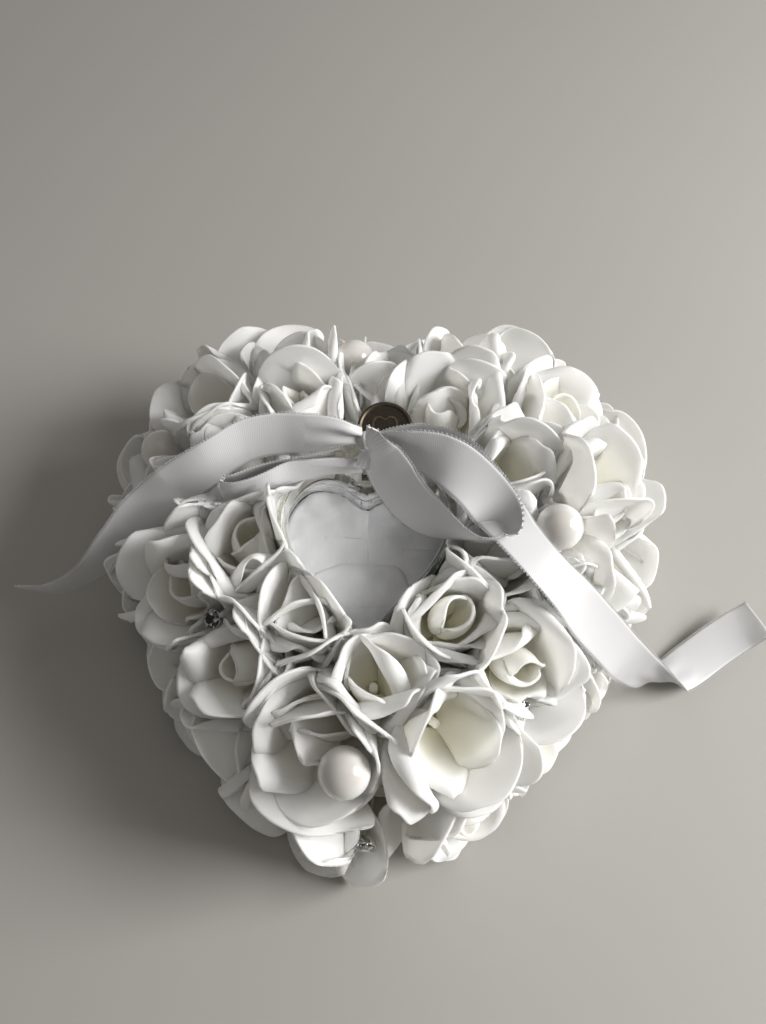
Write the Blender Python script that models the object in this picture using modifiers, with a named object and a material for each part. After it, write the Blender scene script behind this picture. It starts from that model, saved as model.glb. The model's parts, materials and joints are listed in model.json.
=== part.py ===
"""Heart-shaped ring bearer pillow.

A foam heart on a card base carries three rows of foam roses. A clear hinged heart box
for the rings sits in a pocket in the middle, with fabric petals inside it. A satin bow,
a metal button, pearl-headed pins and rhinestone pins decorate it.
Metres, +Z up, +Y towards the cleft of the heart, origin at the middle of the base's underside.
"""

import math

import bmesh
import bpy
from mathutils import Matrix, Vector

GAP = 0.0003  # glued and seated faces

# Card base and foam heart
FOAM_WIDTH = 0.116
FOAM_DEPTH = 0.116
FOAM_WAIST = 0.30  # 0 is an ellipse, 1 the sharpest heart
FOAM_CLEFT = 0.55
FOAM_TOP = 0.038
SHOULDER = 0.024  # radius of the foam's rounded upper edge
BASE_THICKNESS = 0.002
BASE_MARGIN = 0.004  # how far the card stays inside the foam's edge

# Clear ring box
BOX_WIDTH = 0.044
BOX_DEPTH = 0.046
BOX_WAIST = 0.60
BOX_CLEFT = 0.68
BOX_CENTRE = (-0.004, -0.0045)
BOX_HEIGHT = 0.0200
BOX_WALL = 0.0012
LID_HEIGHT = 0.0056
POCKET_DEPTH = 0.0080
POCKET_CLEARANCE = 0.0005
EDGE_ROUND = 0.0009

# Hinge at the back of the box
PIN_RADIUS = 0.0006
PIN_CLEARANCE = 0.0001
KNUCKLE_RADIUS = 0.0014
KNUCKLE_LENGTH = 0.0030
HINGE_OFFSET = 0.0019  # axis behind the box's lobes
HINGE_DROP = 0.0008  # axis below the lid's top
ARM_DROP = 0.0008  # underside of the lid's arms below the axis
POST_FRONT = 0.0013  # the tray's post reaches this far ahead of the axis
POST_BACK = 0.0010
FOOT_DROP = 0.0030  # foot of the post below the tray's rim
FOOT_CLEARANCE = 0.0008  # its top stays this far below the rim
PIN_PROUD = 0.0002  # each end past the outer knuckle

# Fabric petals: middle and half sizes as shares of the box's inside
PETALS = {
    "fabric_petal_left": ((-0.235, 0.115), (0.21, 0.286)),
    "fabric_petal_right": ((0.235, 0.115), (0.21, 0.286)),
    "fabric_petal_front": ((0.0, -0.271), (0.173, 0.133)),
}
PETAL_THICKNESS = 0.0005
PETAL_BELOW_RIM = 0.0027  # crown of a petal below the tray's rim

# Roses: a turned bloom on a wire stem that is pushed into the foam
ROSE_RADIUS = 0.0125
ROSE_HEIGHT = 0.0175
ROSE_MIDDLE = 0.0095  # widest part above the foam
ROSE_STEPS = 9
BUD_RADIUS = 0.38  # rolled middle, as a share of the bloom's radius
STEM_RADIUS = 0.0013
STEM_DEPTH = 0.0060
ROSE_GAP = 0.0008  # between neighbours
INNER_ROW_COUNT = 9
INNER_ROW_FREE = 0.095  # share of the row left free at each side of the cleft
INNER_ROW_OFFSET = 0.0104  # bloom axes outside the box's wall, at the least
INNER_ROW_SPREAD = (0.004, 0.005)  # extra room on the right and at the back of the box
MIDDLE_ROW_COUNT = 13
OUTER_ROW_COUNT = 14
OUTER_ROW_HEIGHT = 0.0165
OUTER_ROW_LEAN = 14.0  # degrees above level
MIDDLE_ROW_LEAN = 56.0
INNER_ROW_LEAN = 84.0

# Pins
PEARL_RADIUS = 0.0059
STONE_RADIUS = 0.0026
NEEDLE_RADIUS = 0.0004
NEEDLE_DEPTH = 0.0070  # into the foam
LEAST_STAND = 0.0140  # head above the foam
PEARLS = [(0.96, 42.0), (0.805, 42.0), (0.515, 52.0), (0.275, 72.0)]  # share of the outline, lean
STONES = [(0.865, 30.0), (0.655, 56.0), (0.505, 8.0), (0.405, 40.0), (0.135, 30.0), (0.935, 38.0)]

# Metal button, from the hinge's axis and the level of the roses' tops
BUTTON_RADIUS = 0.0075
BUTTON_THICKNESS = 0.0016
BUTTON_RIM = 0.0004  # raised above the face
BUTTON_OFFSET = (0.0048, 0.0101, -0.0043)
BUTTON_TILT = 14.0  # degrees, face towards the tip
SHANK_RADIUS = 0.0010
SHANK_DEPTH = 0.0079  # into the foam

# Bow, from the hinge's axis and the level of the roses' tops
RIBBON_WIDTH = 0.012
RIBBON_THICKNESS = 0.0006
KNOT_OFFSET = (0.0020, 0.0043, 0.0003)
KNOT_RADII = (0.0055, 0.0028, 0.0042)
TIE_OFFSET = -0.0036  # wire tie to the left of the knot's middle
TIE_RADIUS = 0.0005
TAIL_LOW = 0.0050  # lowest level of the tails above the table

BASE_TOP = BASE_THICKNESS
FOAM_BOTTOM = BASE_TOP + GAP
POCKET_FLOOR = FOAM_TOP - POCKET_DEPTH
BOX_BOTTOM = POCKET_FLOOR + GAP
LID_TOP = BOX_BOTTOM + BOX_HEIGHT
RIM = LID_TOP - LID_HEIGHT
BOX_FLOOR = BOX_BOTTOM + BOX_WALL
CROWN = FOAM_TOP + ROSE_HEIGHT  # level of the roses' tops


def clear_scene():
    for obj in list(bpy.data.objects):
        bpy.data.objects.remove(obj, do_unlink=True)


def collection(name, hidden=False):
    made = bpy.data.collections.new(name)
    bpy.context.scene.collection.children.link(made)
    made.hide_render = hidden
    return made


clear_scene()
parts = collection("ring_bearer_pillow")
cutters = collection("cutters", hidden=True)


def material(name, colour, roughness, metallic=0.0, alpha=1.0):
    made = bpy.data.materials.new(name)
    made.use_nodes = True
    shader = made.node_tree.nodes["Principled BSDF"]
    shader.inputs["Base Color"].default_value = (*colour, 1.0)
    shader.inputs["Roughness"].default_value = roughness
    shader.inputs["Metallic"].default_value = metallic
    shader.inputs["Alpha"].default_value = alpha
    return made


CARD = material("card", (0.80, 0.79, 0.76), 0.9)
FOAM = material("white foam", (0.88, 0.88, 0.86), 0.95)
PETAL_FOAM = material("petal foam", (0.92, 0.91, 0.88), 0.6)
CLEAR = material("clear plastic", (0.95, 0.96, 0.97), 0.08, alpha=0.35)
STEEL = material("steel", (0.62, 0.62, 0.63), 0.3, metallic=1.0)
FABRIC = material("petal fabric", (0.86, 0.86, 0.86), 0.8)
SATIN = material("satin", (0.90, 0.90, 0.90), 0.4)
PEARL = material("pearl", (0.88, 0.85, 0.80), 0.15)
CRYSTAL = material("crystal", (0.80, 0.84, 0.84), 0.05)
BRONZE = material("bronze", (0.07, 0.055, 0.04), 0.35, metallic=1.0)


# Heart outlines

FINE = 720  # points on an outline that others are measured along


def heart_point(turn, waist, cleft):
    """A point of the unit heart: turn 0 is the cleft, pi the tip."""
    x = (1 - waist) * math.sin(turn) + waist * math.sin(turn) ** 3
    heart = 13 * math.cos(turn) - 5 * math.cos(2 * turn) - 2 * math.cos(3 * turn) - math.cos(4 * turn)
    y = (1 - cleft) * math.cos(turn) + cleft * (heart + 2.5) / 14.5
    return Vector((x, y))


def heart_outline(width, depth, waist, cleft, count, centre=(0.0, 0.0)):
    """Count points spaced evenly along the heart, clockwise from the cleft."""
    fine = [heart_point(2 * math.pi * i / FINE, waist, cleft) for i in range(FINE)]
    top = max(p.y for p in fine)
    side = max(p.x for p in fine)
    scale_x = width / 2 / side
    scale_y = depth / (top + 1)
    lift = (1 - top) / 2 * scale_y
    fine = [Vector((p.x * scale_x + centre[0], p.y * scale_y + lift + centre[1])) for p in fine]
    steps = [(fine[(i + 1) % FINE] - fine[i]).length for i in range(FINE)]
    spacing = sum(steps) / count
    outline, walked, target = [], 0.0, 0.0
    for i, step in enumerate(steps):
        while len(outline) < count and walked + step >= target:
            share = (target - walked) / step
            outline.append(fine[i].lerp(fine[(i + 1) % FINE], share))
            target += spacing
        walked += step
    return outline


def foam_heart(inset, count):
    return heart_outline(FOAM_WIDTH - 2 * inset, FOAM_DEPTH - 2 * inset, FOAM_WAIST, FOAM_CLEFT, count)


def row_heart(count):
    """The inner row's line round the box."""
    extra_x, extra_y = INNER_ROW_SPREAD
    width = BOX_WIDTH + 2 * INNER_ROW_OFFSET + extra_x
    depth = BOX_DEPTH + 2 * INNER_ROW_OFFSET + extra_y
    centre = (BOX_CENTRE[0] + extra_x / 2, BOX_CENTRE[1] + extra_y / 2)
    return heart_outline(width, depth, BOX_WAIST, BOX_CLEFT, count, centre)


def box_heart(inset, count):
    width, depth = BOX_WIDTH - 2 * inset, BOX_DEPTH - 2 * inset
    return heart_outline(width, depth, BOX_WAIST, BOX_CLEFT, count, BOX_CENTRE)


# Building


def add_object(name, mesh, finish, group=parts):
    obj = bpy.data.objects.new(name, mesh)
    group.objects.link(obj)
    if finish:
        mesh.materials.append(finish)
    if group is cutters:
        obj.hide_render = True
        obj.display_type = "WIRE"
    return obj


def mesh_from(bm, name, smooth_angle=40.0):
    bmesh.ops.recalc_face_normals(bm, faces=bm.faces)
    mesh = bpy.data.meshes.new(name)
    bm.to_mesh(mesh)
    bm.free()
    if smooth_angle:
        mesh.shade_smooth()
        mesh.set_sharp_from_angle(angle=math.radians(smooth_angle))
    return mesh


def loft(name, rings, finish, group=parts):
    """A closed solid through rings of equal count, with a flat cap at both ends."""
    bm = bmesh.new()
    loops = [[bm.verts.new(p) for p in ring] for ring in rings]
    count = len(loops[0])
    for lower, upper in zip(loops, loops[1:]):
        for i in range(count):
            j = (i + 1) % count
            bm.faces.new((lower[i], lower[j], upper[j], upper[i]))
    bm.faces.new(loops[0])
    bm.faces.new(loops[-1])
    return add_object(name, mesh_from(bm, name), finish, group)


def heart_loft(name, heart, profile, count, finish, group=parts):
    """A solid whose level outlines are hearts, from (inset, height) pairs."""
    rings = [[(p.x, p.y, z) for p in heart(inset, count)] for inset, z in profile]
    return loft(name, rings, finish, group)


def turned(name, profile, finish, steps, place=Matrix(), group=parts):
    """A solid of revolution about its own Z from (radius, height) pairs, top to bottom."""
    mesh = bpy.data.meshes.new(name)
    points = [(r, 0.0, z) for r, z in profile]
    mesh.from_pydata(points, [(i, i + 1) for i in range(len(points) - 1)], [])
    obj = add_object(name, mesh, finish, group)
    obj.matrix_world = place
    screw = obj.modifiers.new("turn", "SCREW")
    screw.steps = steps
    screw.render_steps = steps
    screw.use_merge_vertices = True
    screw.merge_threshold = 0.00001
    screw.use_smooth_shade = True
    return obj


def cylinder(name, radius, low, high, steps, finish=None, group=parts):
    """A cylinder between two points."""
    low, high = Vector(low), Vector(high)
    bm = bmesh.new()
    bmesh.ops.create_cone(
        bm, cap_ends=True, segments=steps, radius1=radius, radius2=radius, depth=(high - low).length
    )
    turn = Vector((0, 0, 1)).rotation_difference(high - low).to_matrix().to_4x4()
    bm.transform(Matrix.Translation((low + high) / 2) @ turn)
    return add_object(name, mesh_from(bm, name), finish, group)


def box(name, low, high, finish=None, group=parts):
    bm = bmesh.new()
    bmesh.ops.create_cube(bm, size=1.0)
    low, high = Vector(low), Vector(high)
    size = high - low
    bm.transform(Matrix.Translation((low + high) / 2) @ Matrix.Diagonal((*size, 1.0)))
    return add_object(name, mesh_from(bm, name, None), finish, group)


def boolean(obj, operation, other):
    step = obj.modifiers.new(operation.lower() + " " + other.name, "BOOLEAN")
    step.operation = operation
    step.object = other
    step.solver = "EXACT"


def upright(point, axis):
    """A place with its own Z along axis."""
    turn = Vector((0, 0, 1)).rotation_difference(Vector(axis)).to_matrix().to_4x4()
    return Matrix.Translation(point) @ turn


# Places on the foam


def shoulder(lean):
    """Inset and height of the foam's rounded edge where its face leans this far from level."""
    angle = math.radians(lean)
    return SHOULDER * (1 - math.cos(angle)), FOAM_TOP - SHOULDER + SHOULDER * math.sin(angle)


def outward(outline, i):
    along = outline[(i + 1) % len(outline)] - outline[i - 1]
    return Vector((-along.y, along.x, 0)).normalized()


def seat_on(outline, share, height, lean):
    """A point of the foam's face and the direction that leans this far above level there."""
    i = round(share * len(outline)) % len(outline)
    level = outward(outline, i)
    angle = math.radians(lean)
    axis = level * math.cos(angle) + Vector((0, 0, math.sin(angle)))
    return Vector((outline[i].x, outline[i].y, height)), axis


def foam_seat(share, lean):
    """A seat on the foam's wall or rounded edge, square to the face."""
    inset, height = shoulder(lean)
    return seat_on(foam_heart(inset, FINE), share, height, lean)


def rose_seats():
    seats = []
    ring = row_heart(FINE)
    span = 1 - 2 * INNER_ROW_FREE
    for i in range(INNER_ROW_COUNT):
        share = INNER_ROW_FREE + span * i / (INNER_ROW_COUNT - 1)
        seats.append(("inner", *seat_on(ring, share, FOAM_TOP, INNER_ROW_LEAN)))
    for i in range(MIDDLE_ROW_COUNT):
        seats.append(("middle", *foam_seat(i / MIDDLE_ROW_COUNT, MIDDLE_ROW_LEAN)))
    ring = foam_heart(0, FINE)
    for i in range(OUTER_ROW_COUNT):
        share = (i + 0.5) / OUTER_ROW_COUNT
        seats.append(("outer", *seat_on(ring, share, OUTER_ROW_HEIGHT, OUTER_ROW_LEAN)))
    return seats


# Card base and foam heart

heart_loft("base_card", foam_heart, [(BASE_MARGIN, 0.0), (BASE_MARGIN, BASE_TOP)], 40, CARD)

edge = [shoulder(lean) for lean in range(0, 91, 18)]
foam = heart_loft(
    "foam_heart",
    foam_heart,
    [(BASE_MARGIN / 2, FOAM_BOTTOM), (0, FOAM_BOTTOM + BASE_MARGIN)] + edge,
    48,
    FOAM,
)
pocket = heart_loft(
    "pocket_cutter",
    box_heart,
    [(-POCKET_CLEARANCE, POCKET_FLOOR), (-POCKET_CLEARANCE, FOAM_TOP + 0.002)],
    40,
    None,
    cutters,
)
boolean(foam, "DIFFERENCE", pocket)

# Ring box

tray = heart_loft(
    "box_tray",
    box_heart,
    [
        (EDGE_ROUND, BOX_BOTTOM),
        (0, BOX_BOTTOM + EDGE_ROUND),
        (0, RIM),
        (BOX_WALL, RIM),
        (BOX_WALL, BOX_FLOOR),
    ],
    40,
    CLEAR,
)
lid = heart_loft(
    "box_lid",
    box_heart,
    [
        (BOX_WALL, LID_TOP - BOX_WALL),
        (BOX_WALL, RIM + GAP),
        (0, RIM + GAP),
        (0, LID_TOP - EDGE_ROUND),
        (EDGE_ROUND, LID_TOP),
    ],
    40,
    CLEAR,
)

box_edge = box_heart(0, FINE)
cleft_y = box_edge[0].y
hinge_x = BOX_CENTRE[0]
hinge_y = max(p.y for p in box_edge) + HINGE_OFFSET
hinge_z = LID_TOP - HINGE_DROP


def hinge_rod(name, radius, low_x, high_x, steps, finish=None, group=cutters):
    """A cylinder on the hinge's axis."""
    low, high = (low_x, hinge_y, hinge_z), (high_x, hinge_y, hinge_z)
    return cylinder(name, radius, low, high, steps, finish, group)


def knuckle(owner, name, middle_x, *blocks):
    """Joins a barrel on the hinge's axis to its owner, and the blocks that carry it.

    Each block has its front, back, underside and top.
    """
    low_x, high_x = middle_x - KNUCKLE_LENGTH / 2, middle_x + KNUCKLE_LENGTH / 2
    for i, (front, back, under, top) in enumerate(blocks, 1):
        block = box(f"{name}_{i}", (low_x, front, under), (high_x, back, top), None, cutters)
        boolean(owner, "UNION", block)
    boolean(owner, "UNION", hinge_rod(name + "_barrel", KNUCKLE_RADIUS, low_x, high_x, 12))


wall_y = cleft_y - BOX_WALL / 2
pitch = KNUCKLE_LENGTH + GAP
lid_arm = (wall_y, hinge_y, hinge_z - ARM_DROP, hinge_z + KNUCKLE_RADIUS * 0.6)
knuckle(lid, "lid_left", hinge_x - pitch, lid_arm)
knuckle(lid, "lid_right", hinge_x + pitch, lid_arm)

# The tray's knuckle stands on a post that rises behind the lid's wall at the cleft.
foot_low = RIM - FOOT_DROP
foot = (wall_y, hinge_y + POST_BACK, foot_low, RIM - FOOT_CLEARANCE)
post = (hinge_y - POST_FRONT, hinge_y + POST_BACK, foot_low, hinge_z)
knuckle(tray, "tray", hinge_x, foot, post)

reach = pitch + KNUCKLE_LENGTH / 2 + PIN_PROUD
bore_length = reach + GAP
bore = hinge_rod("pin_bore", PIN_RADIUS + PIN_CLEARANCE, hinge_x - bore_length, hinge_x + bore_length, 16)
boolean(tray, "DIFFERENCE", bore)
boolean(lid, "DIFFERENCE", bore)
hinge_rod("hinge_pin", PIN_RADIUS, hinge_x - reach, hinge_x + reach, 16, STEEL, parts)

# Fabric petals: domed sheets that stand on the box's floor

inside = Vector((BOX_WIDTH - 2 * BOX_WALL, BOX_DEPTH - 2 * BOX_WALL))
petal_crown = RIM - BOX_FLOOR - PETAL_BELOW_RIM
for name, (place, half_sizes) in PETALS.items():
    bm = bmesh.new()
    bmesh.ops.create_uvsphere(bm, u_segments=16, v_segments=10, radius=1.0)
    whole = bm.verts[:] + bm.edges[:] + bm.faces[:]
    bmesh.ops.bisect_plane(bm, geom=whole, plane_co=(0, 0, 0.02), plane_no=(0, 0, 1), clear_inner=True)
    middle_x = BOX_CENTRE[0] + place[0] * inside.x
    middle_y = BOX_CENTRE[1] + place[1] * inside.y
    dome = Matrix.Diagonal((half_sizes[0] * inside.x, half_sizes[1] * inside.y, petal_crown, 1.0))
    bm.transform(Matrix.Translation((middle_x, middle_y, BOX_FLOOR + GAP)) @ dome)
    petal = add_object(name, mesh_from(bm, name, 60.0), FABRIC)
    skin = petal.modifiers.new("thickness", "SOLIDIFY")
    skin.thickness = PETAL_THICKNESS
    skin.offset = -1.0

# Roses

seats = rose_seats()
middles = [point + axis * ROSE_MIDDLE for _, point, axis in seats]


def bloom_radius(i):
    """As large as its neighbours and the ring box leave room for."""
    nearest = min((middles[i] - other).length for j, other in enumerate(middles) if j != i)
    to_box = min((middles[i].xy - corner).length for corner in box_edge)
    return min(ROSE_RADIUS, (nearest - ROSE_GAP) / 2, to_box - ROSE_GAP)


radii = [bloom_radius(i) for i in range(len(seats))]
counts = {}
for radius, (row, point, axis) in zip(radii, seats):
    counts[row] = counts.get(row, 0) + 1
    bloom = [
        (0.0, ROSE_HEIGHT - 0.0006),
        (0.30 * radius, ROSE_HEIGHT),
        (BUD_RADIUS * radius, ROSE_HEIGHT - 0.0028),
        (0.66 * radius, ROSE_HEIGHT - 0.0009),
        (0.97 * radius, ROSE_MIDDLE + 0.0022),
        (0.80 * radius, ROSE_MIDDLE - 0.0045),
        (STEM_RADIUS * 2, 0.0008),
        (STEM_RADIUS, 0.0004),
        (STEM_RADIUS, -STEM_DEPTH),
        (0.0, -STEM_DEPTH),
    ]
    turned(f"rose_{row}_{counts[row]:02d}", bloom, PETAL_FOAM, ROSE_STEPS, upright(point, axis))


def stem_cutter(name, radius, depth, points):
    """Holes in one mesh, one for each (point, axis)."""
    bm = bmesh.new()
    for point, axis in points:
        top = 0.004
        bmesh.ops.create_cone(
            bm,
            cap_ends=True,
            segments=8,
            radius1=radius,
            radius2=radius,
            depth=depth + top,
            matrix=upright(point + axis * (top - depth) / 2, axis),
        )
    return add_object(name, mesh_from(bm, name, None), None, cutters)


stems = [(point, axis) for _, point, axis in seats]
boolean(foam, "DIFFERENCE", stem_cutter("stem_holes", STEM_RADIUS + GAP, STEM_DEPTH + GAP, stems))

# Pins stand between the blooms. Each has its share of the outline from the cleft and the
# lean of the foam's face; its head stands as low as the blooms round it allow.

needle_seats = []


def clear_stand(point, axis, radius):
    stand = LEAST_STAND
    while any((point + axis * stand - m).length < r + radius + GAP for m, r in zip(middles, radii)):
        stand += 0.0001
    return stand


for i, (share, lean) in enumerate(PEARLS, 1):
    point, axis = foam_seat(share, lean)
    needle_seats.append((point, axis))
    stand = clear_stand(point, axis, PEARL_RADIUS)
    ball = [(0.0, stand + PEARL_RADIUS)]
    for angle in range(20, 161, 20):
        across, along = math.sin(math.radians(angle)), math.cos(math.radians(angle))
        ball.append((PEARL_RADIUS * across, stand + PEARL_RADIUS * along))
    neck = ball[-1][1] - 0.0004
    ball += [(NEEDLE_RADIUS, neck), (NEEDLE_RADIUS, 0.001 - NEEDLE_DEPTH), (0.0, -NEEDLE_DEPTH)]
    turned(f"pearl_pin_{i}", ball, PEARL, 12, upright(point, axis))

for i, (share, lean) in enumerate(STONES, 1):
    point, axis = foam_seat(share, lean)
    needle_seats.append((point, axis))
    stand = clear_stand(point, axis, STONE_RADIUS)
    stone = [
        (0.0, stand + 0.0012),
        (STONE_RADIUS * 0.62, stand + 0.0012),
        (STONE_RADIUS, stand + 0.0002),
        (STONE_RADIUS, stand - 0.0010),
        (STONE_RADIUS * 0.45, stand - 0.0026),
        (NEEDLE_RADIUS, stand - 0.0030),
        (NEEDLE_RADIUS, 0.001 - NEEDLE_DEPTH),
        (0.0, -NEEDLE_DEPTH),
    ]
    turned(f"rhinestone_pin_{i}", stone, CRYSTAL, 8, upright(point, axis))

needle_holes = stem_cutter("needle_holes", NEEDLE_RADIUS + GAP, NEEDLE_DEPTH + GAP, needle_seats)
boolean(foam, "DIFFERENCE", needle_holes)

# Button on a straight shank


def near_hinge(offset):
    """A place given from the hinge's axis and the level of the roses' tops."""
    return Vector((hinge_x, hinge_y, CROWN)) + Vector(offset)


tilt = math.radians(BUTTON_TILT)
button_axis = Vector((0, -math.sin(tilt), math.cos(tilt)))
button_place = near_hinge(BUTTON_OFFSET)
shank_length = (button_place.z - FOAM_TOP) / button_axis.z + SHANK_DEPTH
button_back = BUTTON_RIM - BUTTON_THICKNESS
button_profile = [
    (0.0, 0.0),
    (BUTTON_RADIUS - 0.0009, 0.0),
    (BUTTON_RADIUS - 0.0006, BUTTON_RIM),
    (BUTTON_RADIUS, BUTTON_RIM / 2),
    (BUTTON_RADIUS, button_back),
    (SHANK_RADIUS, button_back),
    (SHANK_RADIUS, -shank_length),
    (0.0, -shank_length),
]
turned("metal_button", button_profile, BRONZE, 24, upright(button_place, button_axis))
shank_end = button_place - button_axis * (shank_length + GAP)
shank_start = button_place - button_axis * (SHANK_RADIUS - button_back)
shank_hole = cylinder("shank_hole", SHANK_RADIUS + GAP, shank_end, shank_start, 8, None, cutters)
boolean(foam, "DIFFERENCE", shank_hole)


# Ribbon


def smooth(points, count):
    """Count points on a smooth curve through the given ones."""
    last = len(points) - 1
    made = []
    for k in range(count):
        along = k / (count - 1) * last
        i = min(int(along), last - 1)
        t = along - i
        p0, p1, p2, p3 = (points[min(max(i + n, 0), last)] for n in (-1, 0, 1, 2))
        bend = 2 * p0 - 5 * p1 + 4 * p2 - p3
        twist = 3 * p1 - p0 - 3 * p2 + p3
        made.append((2 * p1 + (p2 - p0) * t + bend * t**2 + twist * t**3) / 2)
    return made


def ribbon(name, route, width, count):
    """A strip of ribbon. Each stop of its route has its middle and the way that its width points."""
    middles = smooth([Vector(stop[0]) for stop in route], count)
    across = smooth([Vector(stop[1]).normalized() for stop in route], count)
    rings = []
    for i, middle in enumerate(middles):
        along = middles[min(i + 1, count - 1)] - middles[max(i - 1, 0)]
        side = (across[i] - along * (across[i].dot(along) / along.length_squared)).normalized()
        face = along.cross(side).normalized()
        edge_way, face_way = side * width / 2, face * RIBBON_THICKNESS / 2
        corners = ((-1, -1), (1, -1), (1, 1), (-1, 1))
        rings.append([middle + edge_way * a + face_way * b for a, b in corners])
    return loft(name, rings, SATIN)


def tail_stop(stop):
    """A tail's stop: shares of the foam's width and depth from the hinge, and of the way up to CROWN."""
    (across, back, level), width_way = stop
    height = TAIL_LOW + level * (CROWN - TAIL_LOW)
    return (hinge_x + across * FOAM_WIDTH, hinge_y + back * FOAM_DEPTH, height), width_way


def loop_stop(stop):
    return near_hinge(stop[0]), stop[1]


TAIL_LEFT = [
    ((-0.039, 0.040, 0.980), (0.0, 0.30, 0.95)),
    ((-0.095, 0.044, 1.010), (0.1, 0.40, 0.95)),
    ((-0.172, 0.035, 1.050), (0.15, 0.50, 0.85)),
    ((-0.267, -0.003, 1.099), (0.25, 0.75, 0.55)),
    ((-0.362, -0.072, 1.059), (0.35, 0.90, 0.30)),
    ((-0.457, -0.124, 0.950), (0.45, 0.85, 0.30)),
    ((-0.552, -0.163, 0.772), (0.45, 0.80, 0.40)),
    ((-0.647, -0.184, 0.554), (0.40, 0.70, 0.60)),
    ((-0.733, -0.193, 0.366), (0.30, 0.50, 0.80)),
    ((-0.810, -0.189, 0.257), (0.20, 0.30, 0.90)),
    ((-0.871, -0.172, 0.238), (0.20, 0.20, 0.95)),
]
TAIL_RIGHT = [
    ((0.078, 0.031, 1.010), (0.0, 0.10, 1.0)),
    ((0.129, 0.027, 1.000), (0.0, 0.10, 1.0)),
    ((0.181, 0.014, 1.010), (0.1, 0.15, 1.0)),
    ((0.211, -0.021, 1.030), (0.35, 0.15, 0.95)),
    ((0.231, -0.072, 1.050), (0.60, 0.15, 0.80)),
    ((0.250, -0.141, 1.069), (0.80, 0.30, 0.45)),
    ((0.293, -0.210, 1.069), (0.80, 0.55, 0.15)),
    ((0.379, -0.279, 1.020), (0.68, 0.72, 0.10)),
    ((0.474, -0.340, 0.881), (0.62, 0.78, 0.10)),
    ((0.569, -0.391, 0.673), (0.58, 0.80, 0.15)),
    ((0.655, -0.422, 0.406), (0.54, 0.80, 0.20)),
    ((0.724, -0.426, 0.168), (0.42, 0.80, 0.35)),
    ((0.780, -0.396, 0.079), (0.05, 0.80, 0.55)),
    ((0.841, -0.348, 0.158), (-0.20, 0.75, 0.65)),
    ((0.897, -0.301, 0.297), (-0.30, 0.70, 0.65)),
    ((0.948, -0.258, 0.436), (-0.30, 0.70, 0.60)),
]
LOOP_RIGHT = [
    ((0.0060, 0.0021, 0.0085), (0.1, 0.50, 0.80)),
    ((0.0120, 0.0001, 0.0115), (0.2, 0.65, 0.65)),
    ((0.0200, -0.0049, 0.0135), (0.4, 0.75, 0.45)),
    ((0.0280, -0.0129, 0.0135), (0.65, 0.70, 0.25)),
    ((0.0335, -0.0219, 0.0120), (0.80, 0.50, 0.20)),
    ((0.0340, -0.0284, 0.0100), (0.85, 0.20, 0.30)),
    ((0.0305, -0.0304, 0.0080), (0.60, 0.70, -0.30)),
    ((0.0240, -0.0254, 0.0060), (0.60, 0.80, -0.10)),
    ((0.0170, -0.0174, 0.0040), (0.60, 0.80, 0.10)),
    ((0.0100, -0.0094, 0.0025), (0.50, 0.80, 0.30)),
    ((0.0060, -0.0039, 0.0025), (0.40, 0.80, 0.50)),
]
LOOP_LEFT = [
    ((-0.0055, -0.0004, 0.0005), (0.0, 0.75, 0.65)),
    ((-0.0140, -0.0014, -0.0010), (0.2, 0.85, 0.35)),
    ((-0.0230, -0.0054, -0.0010), (0.3, 0.90, 0.20)),
    ((-0.0320, -0.0099, 0.0015), (0.4, 0.90, 0.10)),
]


def knot():
    """The wrap of ribbon round the bow's middle, on the wire tie that holds it to the foam."""
    place = near_hinge(KNOT_OFFSET)
    bm = bmesh.new()
    bmesh.ops.create_uvsphere(bm, u_segments=14, v_segments=10, radius=1.0)
    bm.transform(Matrix.Translation(place) @ Matrix.Diagonal((*KNOT_RADII, 1.0)))
    wrap = add_object("bow_knot", mesh_from(bm, "bow_knot"), SATIN)
    top = place + Vector((TIE_OFFSET, 0, 0))
    low = Vector((top.x, top.y, FOAM_TOP - NEEDLE_DEPTH))
    boolean(wrap, "UNION", cylinder("tie", TIE_RADIUS, low, top, 8, None, cutters))
    hole_low = low - Vector((0, 0, GAP))
    boolean(foam, "DIFFERENCE", cylinder("tie_hole", TIE_RADIUS + GAP, hole_low, top, 8, None, cutters))


ribbon("ribbon_tail_left", [tail_stop(stop) for stop in TAIL_LEFT], RIBBON_WIDTH, 30)
ribbon("ribbon_tail_right", [tail_stop(stop) for stop in TAIL_RIGHT], RIBBON_WIDTH, 42)
ribbon("bow_loop_right", [loop_stop(stop) for stop in LOOP_RIGHT], RIBBON_WIDTH, 30)
ribbon("bow_loop_left", [loop_stop(stop) for stop in LOOP_LEFT], RIBBON_WIDTH, 14)
knot()
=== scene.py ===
import json
import math
import random

import bmesh
import bpy
import numpy as np
from mathutils import Matrix, Vector


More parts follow.
